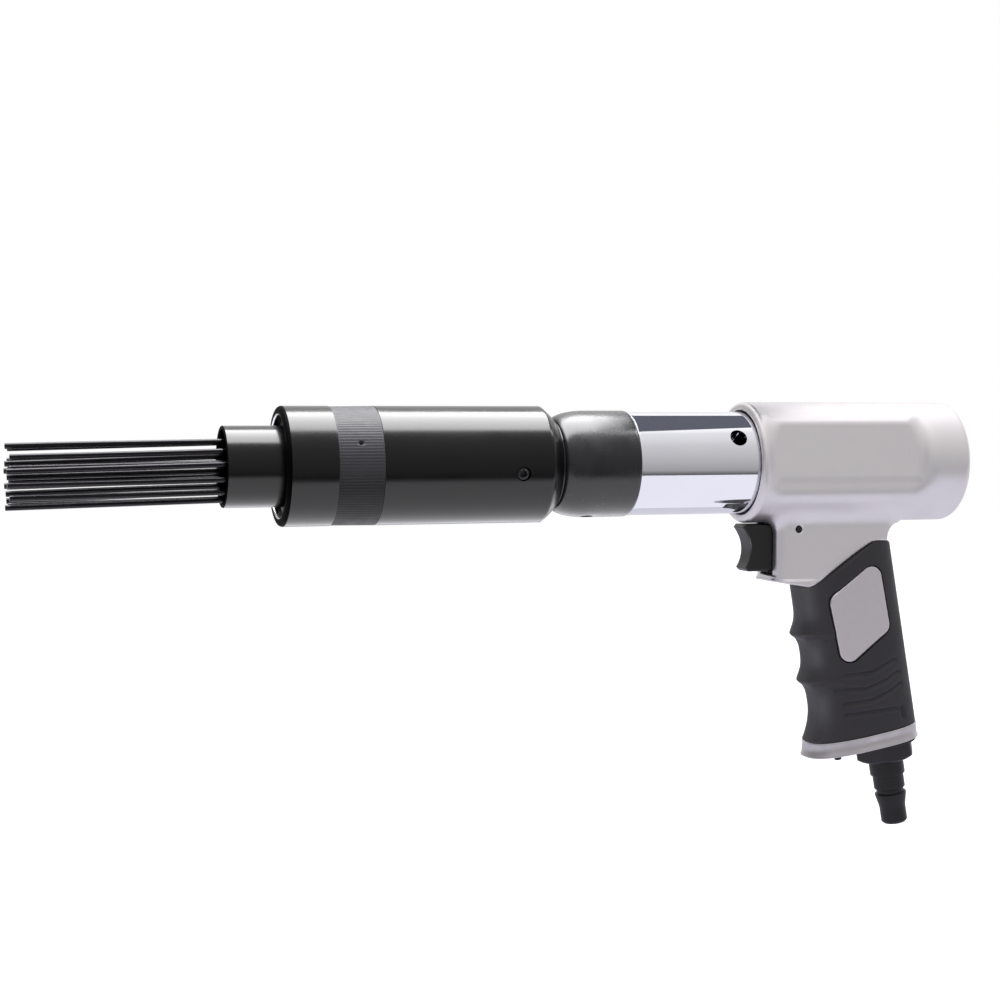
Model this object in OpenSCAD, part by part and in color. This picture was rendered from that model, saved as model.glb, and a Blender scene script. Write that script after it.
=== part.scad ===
// Pneumatic needle scaler with a pistol grip.
// Origin at the centre of the grip; the needles point along -X, +Z is up, all sizes in millimetres.

/* [Layout] */
// Height of the barrel axis above the grip centre
axis_height = 90; // [80:1:105]
// Distance from the grip centre forward to the front face of the body
face_reach = 59; // [54:1:66]
// Rearward slope of the grip, in degrees
grip_tilt = 9.6; // [6:0.2:13]
// Radial clearance of parts that are screwed or pressed together
fit = 0.05; // [0.02:0.01:0.08]
// Radial clearance of loosely guided sliding parts
slide_gap = 0.3; // [0.2:0.05:0.5]
// Gap between faces that meet when something moves
rest_gap = 0.2; // [0.1:0.05:0.3]

/* [Body casting] */
// Diameter of the round body
body_d = 56; // [54:1:62]
// Length of the round body
body_len = 106; // [99:1:116]
// Radius of the rear edge of the body
rear_round = 3.5; // [2:0.5:8]
// Radius of the front edge of the body
lip_round = 2; // [0.5:0.1:3]
// Distance between the upper edges of the two side flats
flat_gap = 42; // [38:1:48]
// Lean of a side flat in degrees, its lower edge standing out
flat_lean = 5.5; // [0:0.5:8]
// Start of the side flats behind the front face
flat_start = 2.5; // [1:0.5:8]
// Length of the side flats
flat_len = 82.5; // [60:0.5:90]
// Radius of the ramps at the two ends of a flat
flat_ramp = 11; // [8:1:20]
// How far a flat reaches below the barrel axis
flat_drop = 13; // [10:0.5:15]
// Radius of the lower corners of a flat
flat_corner = 9; // [4:0.5:10]
// Depth of the counterbore that takes the barrel shoulder
seat_depth = 5; // [4:0.5:8]
// Width of the ring gap round the barrel in the body mouth
mouth_gap = 0.8; // [0.5:0.1:1.5]
// Thickness of the neck under the body
neck_w = 29; // [27:0.5:34]
// Place of the front edge of the neck behind the body face
neck_start = 14; // [12:0.5:18]
// Place of the rear face of the neck behind the body face
neck_end = 70.5; // [67:0.5:76]
// Radius that blends the rear of the neck into the body
neck_blend = 5; // [3:0.5:8]
// Reach of the lip under the trigger ahead of the neck
lip_reach = 1.2; // [0.6:0.1:4]
// Radius of the upright edges of the neck
neck_round = 9; // [6:0.5:10]
// Thickness of the lip under the trigger
lip_h = 2.6; // [2:0.2:4]

/* [Grip] */
// Distance from the grip axis forward to the rubber between the finger ridges
grip_front = 24.6; // [23.6:0.2:28]
// Distance from the grip axis back to the rear of the rubber
grip_back = 24.5; // [23:0.5:28]
// Width of the rubber grip
grip_w = 34; // [32:0.5:38]
// Length of the grip below its centre
grip_drop = 36.7; // [34:0.5:42]
// Height of the rubber at the front, above the grip centre
top_front = 36; // [34:0.5:40]
// Height of the rubber at the rear, above the grip centre
top_rear = 51.5; // [48:0.5:53]
// Height of the ridges between the fingers
ridge_h = 4; // [1:0.2:5]
// Distance between the two finger ridges
finger_pitch = 22.5; // [20:0.5:25]
// Height of the upper finger ridge above the grip centre
ridge_top = 13.7; // [10:0.5:17]
// How far the front flares out at the foot of the grip
foot_flare = 5.4; // [2:0.2:7]
// Width of the metal core inside the rubber
core_w = 25; // [23:0.5:28]
// Depth of the metal core inside the rubber
core_depth = 40; // [36:1:44]
// Radius of the upright edges of the metal core
core_round = 8; // [6:0.5:11]
// Length of the flare at the foot of the grip
flare_len = 16; // [8:0.5:20]
// Gap round the metal panel in the side window of the rubber
window_gap = 0.4; // [0.2:0.1:0.8]
// How far the side panel lies below the surface of the rubber
panel_sink = 0.8; // [0.3:0.1:1.5]

/* [Base and inlet] */
// Thickness of the base plate
base_h = 7.4; // [5:0.2:9]
// How far the base plate stands out past the rubber
base_lip = 0.6; // [0.3:0.1:1.2]
// Further reach of the base plate at the front
base_toe = 1; // [0:0.1:2]
// Diameter of the pin that locates the base plate
base_pin_d = 3.4; // [2:0.2:5]
// Place of the base pin ahead of the grip axis
base_pin_x = 15.6; // [13:0.2:17]
// How far the base pin stands out below the plate
base_pin_out = 5; // [1:0.5:6]
// How far the base pin reaches up into the metal core
base_pin_in = 11.5; // [6:0.5:16]
// Place of the air inlet behind the grip axis
inlet_x = 9; // [7:0.5:10]
// Thickness of the inlet washer
washer_h = 1.5; // [1:0.1:2.5]
// Hexagon size of the inlet bushing, across flats
inlet_hex = 26; // [24:0.5:28]
// Height of the hexagon
inlet_hex_h = 7.8; // [6:0.2:10]
// Outside diameter of the thread of the inlet bushing
inlet_thread_d = 16; // [14:0.5:18]
// Length of the thread of the inlet bushing above the washer
inlet_thread_len = 17; // [14:0.5:24]
// Diameter of the air passage up the grip
air_d = 10; // [7:0.5:11]

/* [Hose plug] */
// Outside diameter of the thread of the plug
plug_thread_d = 11.9; // [10:0.1:12.5]
// Length of the thread of the plug
plug_thread_len = 12; // [8:0.5:13]
// Diameter of the collar of the plug
plug_collar_d = 16.4; // [14:0.2:20]
// Length of the collar of the plug
plug_collar_len = 8.2; // [6:0.2:12]
// Diameter of the stem below the collar
plug_stem_d = 14.6; // [13:0.2:16]
// Length of the stem below the collar
plug_stem_len = 6.6; // [4:0.2:10]
// Diameter of the latch groove
plug_neck_d = 12.8; // [11:0.2:14]
// Length of the latch groove
plug_neck_len = 2.5; // [1.5:0.1:4]
// Largest diameter of the cone behind the nose
plug_cone_d = 15.1; // [14:0.1:17]
// Length of the cone
plug_cone_len = 6.7; // [4:0.2:10]
// Diameter of the sealing nose
plug_nose_d = 12.3; // [11:0.1:13]
// Length of the sealing nose
plug_nose_len = 7; // [5:0.2:12]
// Bore of the plug
plug_bore_d = 7; // [5:0.2:8]

/* [Trigger and throttle] */
// Width of the trigger
trigger_w = 12.8; // [11:0.2:14]
// Height of the trigger
trigger_h = 21.8; // [19:0.2:22.5]
// How far the middle of the trigger stands out ahead of the neck
trigger_out = 10; // [8:0.5:12]
// Depth of the finger hollow of the trigger
trigger_hollow = 3; // [1.5:0.1:4]
// How far the upper tip of the trigger stands out past the lower one
trigger_ear = 1.6; // [0:0.1:2]
// Gap under the trigger
trigger_under = 2; // [1:0.2:3]
// Travel of the trigger
trigger_travel = 6; // [4:0.5:7]
// Thickness of the tongue behind the trigger
tongue_w = 6; // [4:0.5:8]
// Wall of the tongue round the slot of its pin
tongue_wall = 1.2; // [0.8:0.1:1.8]
// Diameter of the pin that keeps the trigger in
trigger_pin_d = 3; // [2:0.1:4]
// Place of the trigger pin behind the neck's front edge
trigger_pin_x = 9.8; // [8:0.2:11]
// Height of the trigger pin below the barrel axis
trigger_pin_drop = 30.6; // [30.2:0.1:32]
// Diameter of the trigger rod
rod_d = 5; // [4:0.2:6]
// Height of the throttle below the barrel axis
throttle_drop = 43; // [41:0.5:45]
// Outside diameter of the throttle bushing
throttle_d = 14; // [12:0.5:15]
// Length of the throttle bushing
throttle_len = 26; // [22:0.5:30]
// Diameter of the throttle valve
throttle_valve_d = 10; // [8:0.2:11]
// Thickness of the throttle valve's disc
throttle_disc = 3.5; // [2:0.5:5]
// Thickness of the throttle seal
seal_h = 1.2; // [0.8:0.1:2]
// Width of the throttle seal
seal_w = 2.6; // [1.8:0.1:2.8]
// Length of the throttle spring
throttle_spring_len = 13; // [10:0.5:14]
// Diameter of the wire of the throttle spring
throttle_wire = 1; // [0.6:0.1:1.2]
// Diameter of the passage from the throttle up to the air valve
port_d = 6; // [4:0.5:7]

/* [Barrel and air valve] */
// Outside diameter of the barrel
barrel_d = 47; // [45:0.5:50]
// Length of barrel seen between the body and the coupling
barrel_show = 57.3; // [48:0.5:66]
// Depth of the shoulders at the threaded ends of the barrel
barrel_shoulder = 3.5; // [2.5:0.1:4.5]
// Length of the rear spigot inside the body
rear_spigot = 40; // [34:1:46]
// Length of the front spigot inside the coupling
front_spigot = 28; // [24:1:30]
// Wall of the barrel at its threaded ends
spigot_wall = 7.5; // [6:0.25:9]
// Diameter of the exhaust hole
exhaust_d = 8; // [6:0.2:9]
// Place of the exhaust hole ahead of the body face
exhaust_ahead = 9.4; // [8:0.2:14]
// Angle of the exhaust hole above the horizontal, in degrees
exhaust_angle = 30; // [15:1:60]
// Thickness of the washer behind the barrel shoulder
seat_washer_h = 1.2; // [0.8:0.1:2]
// How far the air valve parts lie below the barrel's threaded end, on the radius
valve_step = 2; // [1:0.1:3]
// Length of the valve block
block_len = 11; // [8:0.5:14]
// Length of the valve cap
cap_len = 15; // [13:0.5:18]
// Thickness of the gasket behind the valve cap
gasket_h = 3; // [2:0.5:4]
// Wall of the valve cap round the room of the disc
disc_wall = 7.2; // [6.2:0.1:8.6]
// Thickness of the valve disc
disc_h = 2; // [1.5:0.1:3]
// Travel of the valve disc
disc_travel = 1.6; // [1:0.1:2]
// Diameter of the holes through the valve block
block_hole_d = 3; // [2:0.1:4]
// Place of those holes between the middle hole and the edge of the disc, as a share
block_hole_place = 0.6; // [0.5:0.05:0.65]
// Diameter of the dowel between the valve block and the cap
dowel_d = 3; // [2:0.1:4]
// How far the dowel reaches into either piece
dowel_in = 5.5; // [4:0.5:7]
// Depth of the air groove round the valve cap
cap_groove = 3; // [1:0.1:3.5]
// Length of the piston
piston_len = 44; // [40:1:48]

/* [Coupling and anvil] */
// How far the coupling stands out past the barrel, on the radius
coupling_rise = 0.5; // [-0.2:0.1:1.5]
// Length of coupling seen behind the housing
coupling_show = 35.2; // [31:0.2:40]
// How far the neck of the coupling lies below its thread, on the radius
neck_step = 0.6; // [0.2:0.1:1]
// Length of the rounded shoulder of the coupling
shoulder_len = 15; // [10:0.5:18]
// Length of the coupling inside the housing
coupling_spigot = 25.5; // [22:0.5:30]
// Diameter of the two spanner holes in the coupling
spanner_d = 5.6; // [4:0.2:6.5]
// Depth of the spanner holes
spanner_depth = 2.5; // [1:0.1:2.8]
// Outside diameter of the anvil bush
bush_d = 26; // [22:0.5:28]
// Thickness of the anvil bumper
bumper_h = 3; // [2:0.5:5]
// Diameter of the shank of the anvil
shank_d = 16; // [12:0.5:18]
// How far the shank reaches into the barrel
shank_in = 14; // [10:0.5:18]
// Thickness of the head of the anvil
anvil_head = 23; // [18:0.5:28]

/* [Housing and nose] */
// Outside diameter of the housing
housing_d = 52; // [50:0.5:56]
// Wall of the housing
housing_wall = 4; // [3.5:0.1:4.2]
// Length of the rear housing that shows
rear_len = 81.4; // [74:0.2:88]
// How far the thread at the rear of the housing stands into its bore, on the radius
thread_in = 2; // [1.5:0.1:2.5]
// Length of the chamfer at the rear of the housing
rear_chamfer = 6; // [3:0.5:9]
// Diameter of the housing screw
screw_d = 6; // [4:0.5:6.5]
// Place of the housing screw ahead of the rear of the housing
screw_ahead = 20.2; // [17:0.2:22]
// Angle of the housing screw below the horizontal, in degrees
screw_angle = 8; // [0:1:30]
// Length of the front sleeve
sleeve_len = 41.6; // [36:0.2:46]
// Length of the thread under the front sleeve
sleeve_thread = 12; // [8:0.5:16]
// Wall of the thread under the front sleeve
thread_wall = 2; // [1.5:0.1:2.4]
// Length of the knurled band at the rear of the front sleeve
knurl_len = 19.8; // [16:0.2:24]
// Number of teeth of the knurl
knurl_teeth = 72; // [48:4:96]
// Depth of the knurl
knurl_depth = 0.5; // [0.2:0.1:0.8]
// Diameter of the pin hole in the knurled band
pin_hole_d = 1.8; // [1:0.1:3]
// Depth of the pin hole in the knurled band
pin_hole_depth = 1.4; // [0.5:0.1:1.6]
// Place of the retaining ring behind the mouth of the sleeve
ring_back = 3.5; // [3:0.1:5]
// Thickness of the retaining ring
ring_h = 2; // [1.2:0.1:2.4]
// Depth of the groove of the retaining ring
groove_depth = 1; // [0.6:0.1:1.4]
// How far the retaining ring stands into the bore of the housing
ring_in = 2.8; // [2:0.1:3.2]
// Room round the nose tube for the return spring, on the radius
spring_room = 4.5; // [3.8:0.1:5]
// Wall of the nose tube
nose_wall = 1.5; // [1:0.1:1.7]
// Length of nose tube seen ahead of the housing
nose_out = 24; // [20:0.2:32]
// Length of the guide collar of the nose tube
collar_len = 10; // [6:0.5:12]
// Diameter of the wire of the return spring
spring_wire = 2.2; // [1.6:0.1:2.6]
// Number of turns of the return spring
spring_turns = 6; // [4:1:7]

/* [Needles] */
// Diameter of a needle
needle_d = 2.5; // [2:0.1:3]
// Length of a needle with its head
needle_len = 181; // [160:1:200]
// Share of the room between neighbouring needles that their heads take
head_share = 0.5; // [0.3:0.05:0.6]
// Thickness of the head of a needle
head_h = 2.5; // [2:0.1:3]
// Lengthwise float of a needle in the holder
needle_float = 3.4; // [2:0.1:5]
// Thickness of the needle holder's plate
holder_h = 12; // [9:0.5:14]
// Room between the axes of the outer needles and the wall of the nose tube
needle_room = 3.4; // [3:0.1:4]
// Slack of a needle in its hole, on the radius
needle_slack = 0.4; // [0.3:0.05:0.6]
// Droop of the needles below the barrel axis, in degrees
needle_droop = 1.2; // [0:0.1:1.3]
// Largest lean of a single needle, in degrees
needle_lean = 0.2; // [0:0.05:0.3]

/* [Hidden] */
$fn = 96;
// Overrun of a cut past the face it leaves, and the small chamfer of turned edges
EPS = 0.5;
EDGE = 0.5;
// Room past the end of a travel
END_ROOM = 1.5;
AXIS_Z = axis_height;
FACE_X = -face_reach;
BODY_R = body_d / 2;
BARREL_R = barrel_d / 2;
SPIGOT_R = BARREL_R - barrel_shoulder;
VALVE_R = SPIGOT_R - valve_step;
BORE_R = SPIGOT_R - spigot_wall;
HOUSING_R = housing_d / 2;
HOUSING_BORE_R = HOUSING_R - housing_wall;
REAR_BORE_R = HOUSING_BORE_R - thread_in;
COUPLING_R = BARREL_R + coupling_rise;
NOSE_R = HOUSING_BORE_R - spring_room;
GUIDE_R = HOUSING_BORE_R - slide_gap;
RING_R = NOSE_R - nose_wall - needle_room;
HEAD_R = needle_d / 2 + head_share * (RING_R / 2 - needle_d) / 2;

// Stations along the barrel axis, counted rearwards from the front face of the body
BARREL_SEAT = seat_depth - seat_washer_h;
BARREL_REAR = seat_depth + rear_spigot;
CAP_FRONT = BARREL_REAR + block_len;
GASKET_FRONT = CAP_FRONT + cap_len;
CHAMBER_END = GASKET_FRONT + gasket_h;
BARREL_FRONT = -barrel_show - front_spigot;
HOUSING_REAR = -barrel_show - coupling_show;
COUPLING_FRONT = HOUSING_REAR - coupling_spigot;
ANVIL_REAR = COUPLING_FRONT - bumper_h - rest_gap;
ANVIL_FACE = ANVIL_REAR - anvil_head;
SHANK_END = BARREL_FRONT + shank_in;
HOLDER_REAR = ANVIL_FACE - rest_gap;
HEAD_ROOM = head_h + needle_float;
PLATE_REAR = HOLDER_REAR - HEAD_ROOM;
PLATE_FRONT = PLATE_REAR - holder_h;
SLEEVE_REAR = HOUSING_REAR - rear_len;
SLEEVE_FRONT = SLEEVE_REAR - sleeve_len;
RING_FRONT = SLEEVE_FRONT + ring_back;
COLLAR_FRONT = RING_FRONT + ring_h + rest_gap;
COLLAR_REAR = COLLAR_FRONT + collar_len;
NOSE_FRONT = SLEEVE_FRONT - nose_out;
PISTON_REAR = BARREL_REAR - EPS;
PISTON_FRONT = PISTON_REAR - piston_len;
DISC_ROOM_R = VALVE_R - disc_wall;
DISC_R = DISC_ROOM_R - slide_gap;
DOWEL_R = (VALVE_R + DISC_ROOM_R) / 2;

// Places of the neck, the trigger and the throttle
NECK_X = FACE_X + neck_start;
NECK_BACK = FACE_X + neck_end;
// Height above the barrel axis at which a flat leaves the round body
FLAT_TOP = sqrt(max(body_d * body_d - flat_gap * flat_gap, 0)) / 2;
TRIGGER_TOP = AXIS_Z - BODY_R - EPS;
TRIGGER_FOOT = TRIGGER_TOP - trigger_h;
SLOT_FOOT = TRIGGER_FOOT - trigger_under;
TRIGGER_REAR = NECK_X + 1;
ROD_FRONT = TRIGGER_REAR - 7;
SLOT_REAR = TRIGGER_REAR + trigger_travel + END_ROOM;
THROTTLE_Z = AXIS_Z - throttle_drop;
PIN_X = NECK_X + trigger_pin_x;
PIN_Z = AXIS_Z - trigger_pin_drop;
PIN_SLOT = trigger_pin_d + 2 * slide_gap;
PIN_SLOT_REAR = PIN_X + PIN_SLOT / 2;
TONGUE_H = PIN_SLOT + 2 * tongue_wall;
TONGUE_FRONT = TRIGGER_REAR - 2;
TONGUE_REAR = PIN_SLOT_REAR + 2 * tongue_wall;
THROTTLE_REAR = SLOT_REAR + throttle_len;
PORT_X = THROTTLE_REAR - 5;
PORT_SLOPE = 38;
VALVE_FRONT = THROTTLE_REAR + rest_gap;
VALVE_NOSE = VALVE_FRONT - 1;
VALVE_BACK = VALVE_FRONT + seal_h + throttle_disc;
THROTTLE_END = VALVE_BACK + throttle_spring_len;

// Places down the grip, counted upwards from the grip centre
BASE_TOP = -grip_drop - fit;
BASE_FOOT = BASE_TOP - base_h;
WASHER_FOOT = BASE_FOOT - washer_h;
HEX_FOOT = WASHER_FOOT - inlet_hex_h;
THREAD_TOP = WASHER_FOOT + inlet_thread_len;
PLUG_TOP = HEX_FOOT + plug_thread_len;
HEX_R = inlet_hex / 2 / cos(30);
SCREEN_WALL = 1;
SECTION_POINTS = 28;
SECTION_POWER = 2.7;
RING_STEP = 3.6;
// Width of a finger ridge above its tip and below it
RIDGE_ABOVE = 4.6;
RIDGE_BELOW = 3.3;
// Rise of the rubber's upper edge from the front, and its fall at the rear
TOP_RISE = 36;
TOP_FALL = 2;
TOP_FALL_START = 14;
TOP_FALL_LEN = 12;
TOP_STEP = 3;
WINDOW = [[-9.9, 26.9], [7.2, 35.6], [7.7, 13], [-8.8, 4]];
WINDOW_ROUND = 5.8;
PIN_HOLE_ANGLE = 23;
SPANNER_ANGLE = 10;
RING_GAP = 6;

NEEDLE_NAMES = [for (i = [1:19]) str("needle_", i < 10 ? "0" : "", i)];

// Smooth step from 0 to 1 while t runs from 0 to 1
function ease(t) = let (c = min(max(t, 0), 1)) c * c * (3 - 2 * c);

// Nearly straight climb from 0 to 1 while t does the same
function climb(t) = 0.8 * min(max(t, 0), 1) + 0.2 * ease(t);

// A pointed finger ridge of height 1, at the distance d above its tip
function ridge(d) = exp(-pow(abs(d) / (d > 0 ? RIDGE_ABOVE : RIDGE_BELOW), 1.5));

// The hollow curve of the flare while t runs from 0 at its start to 1 at the foot
function flare(t) = pow(max(t, 0), 2);

// Points on an arc about (x, y)
function arc(x, y, r, from, to, n = 6) =
    [for (i = [0:n]) let (t = from + (to - from) * i / n) [x + r * cos(t), y + r * sin(t)]];

// A point of the grip's side view (along the depth, up the grip) in the plane of the tool
function grip_point(p) = [p[0] * cos(grip_tilt) - p[1] * sin(grip_tilt),
    p[0] * sin(grip_tilt) + p[1] * cos(grip_tilt)];

// Height of the upper edge of the rubber at a place along the depth of the grip
function rubber_top(w) = top_front + (top_rear - top_front) * climb((w + grip_front) / TOP_RISE)
    - TOP_FALL * ease((w - TOP_FALL_START) / TOP_FALL_LEN);

// Points along the upper edge of the rubber, counted in steps from its front
function top_points(first, last) = [for (i = [first:last]) let (w = TOP_STEP * i - grip_front)
    [w, rubber_top(w)]];

// Front edge of the rubber: two finger ridges and a flare at the foot
function grip_edge(h) = grip_front + ridge_h * ridge(h - ridge_top)
    + ridge_h * ridge(h - ridge_top + finger_pitch)
    + foot_flare * flare((flare_len - grip_drop - h) / flare_len);

// Cross-section of the rubber at one height, a rounded box from the front edge to the rear
function grip_section(h, grow = 0, toe = 0) = let (front = grip_edge(h) + grow + toe, back = grip_back + grow)
    [for (i = [0:SECTION_POINTS - 1]) let (t = 360 * i / SECTION_POINTS, c = cos(t), s = sin(t),
        reach = c > 0 ? back : front) [sign(c) * reach * pow(abs(c), 2 / SECTION_POWER),
        sign(s) * (grip_w / 2 + grow) * pow(abs(s), 2 / SECTION_POWER)]];

// Place on the barrel axis, a rearward from the body face, with local Z along the axis
module on_axis(a = 0) {
    translate([FACE_X + a, 0, AXIS_Z]) rotate([0, 90, 0]) children();
}

// The grip's own frame: X along its depth, Z up its length
module in_grip() {
    rotate([0, -grip_tilt, 0]) children();
}

// The frame of the throttle, with local Z along it to the rear
module in_throttle(x = 0) {
    translate([x, 0, THROTTLE_Z]) rotate([0, 90, 0]) children();
}

// A side view in the plane of the tool, given the thickness w
module side_plate(w) {
    rotate([90, 0, 0]) linear_extrude(height = w, center = true) children();
}

// A solid of revolution on the barrel axis from [radius, station] points
module turned(points) {
    on_axis() rotate_extrude() polygon(points);
}

// A plain ring between two stations of the barrel axis
module ring(r_out, r_in, from, to) {
    turned([[r_in, from], [r_out, from], [r_out, to], [r_in, to]]);
}

// A rod between two stations of the local Z axis
module rod(r, from, to) {
    translate([0, 0, from]) cylinder(r = r, h = to - from);
}

// A rounded rectangle
module rounded_box(x0, x1, w, r) {
    translate([x0, r - w / 2]) square([x1 - x0, w - 2 * r]);
    translate([x0 + r, -w / 2]) square([x1 - x0 - 2 * r, w]);
    for (x = [x0 + r, x1 - r], y = [r - w / 2, w / 2 - r]) translate([x, y]) circle(r);
}

// A coil spring along local Z, of round wire, as one tube with square ends
module coil(mean_r, wire_d, len, turns) {
    steps = 12 * turns;
    sides = 6;
    climb = (len - wire_d) / steps;
    points = [for (i = [0:steps], k = [0:sides - 1]) let (t = 30 * i, a = 360 * k / sides,
        r = mean_r + wire_d / 2 * cos(a), z = wire_d / 2 * (1 + sin(a)))
        [r * cos(t), r * sin(t), z + climb * i]];
    walls = [for (i = [0:steps - 1], k = [0:sides - 1]) let (a = i * sides + k,
        b = i * sides + (k + 1) % sides) each [[a, a + sides, b], [b, a + sides, b + sides]]];
    caps = [for (k = [1:sides - 2]) each [[0, k, k + 1],
        [steps * sides, steps * sides + k + 1, steps * sides + k]]];
    polyhedron(points, concat(walls, caps));
}

// The side window of the rubber, grown by g
module window_shape(g = 0) {
    hull() for (p = WINDOW) translate(p) circle(WINDOW_ROUND + g, $fn = 32);
}

// The metal core of the grip, grown by g
module grip_core(g = 0) {
    in_grip() translate([0, 0, BASE_TOP]) linear_extrude(height = grip_drop + top_rear)
        rounded_box(-core_depth / 2 - g, core_depth / 2 + g, core_w + 2 * g, core_round + g);
}

// The neck seen from the side, ending below along the upper edge of the rubber
module neck_outline() {
    shelf = [for (p = top_points(0, floor((grip_front + core_depth / 2) / TOP_STEP) + 1)) grip_point(p)];
    blend_z = AXIS_Z - BODY_R;
    polygon(concat(
        [[NECK_X, AXIS_Z], [NECK_X, SLOT_FOOT], [NECK_X - lip_reach, SLOT_FOOT],
            [NECK_X - lip_reach, SLOT_FOOT - lip_h]],
        shelf,
        arc(NECK_BACK + neck_blend, blend_z - neck_blend, neck_blend, 180, 90),
        [[NECK_BACK + neck_blend, AXIS_Z]]));
}

module neck() {
    intersection() {
        side_plate(neck_w) neck_outline();
        linear_extrude(height = 2 * AXIS_Z)
            rounded_box(NECK_X - lip_reach, NECK_BACK + neck_blend, neck_w, neck_round);
    }
}

// The round body with its side flats
module body_barrel() {
    difference() {
        turned(concat([[0, 0]], arc(BODY_R - lip_round, lip_round, lip_round, -90, 0, 4),
            arc(BODY_R - rear_round, body_len - rear_round, rear_round, 0, 90), [[0, body_len]]));
        for (side = [0, 1]) mirror([0, side, 0]) translate([FACE_X + flat_start, 0, AXIS_Z]) intersection() {
            // Seen from above the flat ends in a ramp, and seen from the side in round lower corners
            translate([0, flat_gap / 2, FLAT_TOP]) rotate([flat_lean, 0, 0])
                linear_extrude(height = 4 * body_d, center = true) polygon(concat(
                    arc(flat_ramp, flat_ramp, flat_ramp, 180, 270),
                    arc(flat_len - flat_ramp, flat_ramp, flat_ramp, 270, 360),
                    [[flat_len, body_d], [0, body_d]]));
            rotate([90, 0, 0]) linear_extrude(height = 2 * body_d, center = true) polygon(concat(
                arc(flat_corner, flat_corner - flat_drop, flat_corner, 180, 270),
                arc(flat_len - flat_corner, flat_corner - flat_drop, flat_corner, 270, 360),
                [[flat_len, body_d], [0, body_d]]));
        }
    }
}

module side_panels() {
    panel_y = grip_w / 2 - panel_sink;
    in_grip() rotate([90, 0, 0]) linear_extrude(height = 2 * panel_y, center = true)
        window_shape(-window_gap);
}

module handle_casting() {
    color("#b4afb0") difference() {
        union() {
            body_barrel();
            neck();
            grip_core();
            side_panels();
        }
        // Seat of the barrel and chamber of the air valve
        on_axis() {
            rod(BARREL_R + mouth_gap, -EPS, seat_depth);
            rod(SPIGOT_R + fit, -EPS, BARREL_REAR);
            rod(VALVE_R + fit, -EPS, CHAMBER_END);
        }
        // Slot of the trigger, and the narrower one of its tongue
        translate([NECK_X - lip_reach - EPS, -trigger_w / 2 - slide_gap, SLOT_FOOT])
            cube([SLOT_REAR - NECK_X + lip_reach + EPS, trigger_w + 2 * slide_gap,
                TRIGGER_TOP + slide_gap - SLOT_FOOT]);
        translate([TONGUE_FRONT - slide_gap, -tongue_w / 2 - slide_gap, PIN_Z - TONGUE_H / 2 - slide_gap])
            cube([TONGUE_REAR + trigger_travel + END_ROOM - TONGUE_FRONT, tongue_w + 2 * slide_gap,
                TONGUE_H + 2 * slide_gap]);
        translate([PIN_X, 0, PIN_Z]) rotate([90, 0, 0])
            cylinder(d = trigger_pin_d + 2 * fit, h = neck_w + 2 * EPS, center = true);
        // Throttle bore, the passage up to the air valve and the passage up the grip
        in_throttle() rod(throttle_d / 2 + fit, SLOT_REAR - EPS, THROTTLE_END);
        translate([PORT_X, 0, THROTTLE_Z + port_d / 2]) rotate([0, PORT_SLOPE, 0])
            cylinder(d = port_d, h = (throttle_drop - VALVE_R) / cos(PORT_SLOPE));
        in_grip() translate([inlet_x, 0, 0]) {
            rod(air_d / 2, BASE_TOP - EPS, THROTTLE_Z);
            rod(inlet_thread_d / 2 + fit, BASE_TOP - EPS, THREAD_TOP + END_ROOM);
        }
        in_grip() translate([-base_pin_x, 0, 0])
            rod(base_pin_d / 2 + fit, BASE_TOP - EPS, BASE_TOP + base_pin_in + EPS);
    }
}

// The outside of the rubber as rings joined into one closed shell
module grip_form() {
    foot = -grip_drop;
    rings = ceil((top_rear + 2 + grip_drop) / RING_STEP);
    step = (top_rear + 2 + grip_drop) / rings;
    n = SECTION_POINTS;
    points = [for (j = [0:rings]) let (h = foot + step * j) each
        [for (p = grip_section(h)) [p[0], p[1], h]]];
    walls = [for (j = [0:rings - 1], i = [0:n - 1]) let (a = j * n + i, b = j * n + (i + 1) % n)
        each [[a, a + n, b], [b, a + n, b + n]]];
    top = rings * n;
    caps = [for (i = [1:n - 2]) each [[0, i, i + 1], [top, top + i + 1, top + i]]];
    in_grip() polyhedron(points, concat(walls, caps));
}

module grip_sleeve() {
    top = top_points(-3, ceil((grip_front + grip_back) / TOP_STEP) + 1);
    color("#343237") difference() {
        grip_form();
        grip_core(fit);
        // Everything above the upper edge of the rubber
        in_grip() translate([0, 0, -fit]) rotate([90, 0, 0])
            linear_extrude(height = 2 * grip_w, center = true)
                polygon(concat(top, [[top[len(top) - 1][0], 2 * top_rear], [top[0][0], 2 * top_rear]]));
        in_grip() rotate([90, 0, 0]) linear_extrude(height = 2 * grip_w, center = true) window_shape();
    }
}

module base_plate() {
    color("#c9c7c8") difference() {
        in_grip() translate([0, 0, BASE_FOOT]) linear_extrude(height = base_h)
            polygon(grip_section(-grip_drop, base_lip, base_toe));
        in_grip() translate([inlet_x, 0, 0])
            rod(inlet_thread_d / 2 + fit, BASE_FOOT - EPS, BASE_TOP + EPS);
        in_grip() translate([-base_pin_x, 0, 0])
            rod(base_pin_d / 2 + fit, BASE_FOOT - EPS, BASE_TOP + EPS);
    }
}

module base_pin() {
    color("#2b2b2d") in_grip() translate([-base_pin_x, 0, 0])
        rod(base_pin_d / 2, BASE_FOOT - base_pin_out, BASE_TOP + base_pin_in);
}

module inlet_washer() {
    color("#1d1d1f") in_grip() translate([inlet_x, 0, 0]) difference() {
        rod(HEX_R + EDGE, WASHER_FOOT, BASE_FOOT);
        rod(inlet_thread_d / 2 + fit, WASHER_FOOT - EPS, BASE_FOOT + EPS);
    }
}

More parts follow.
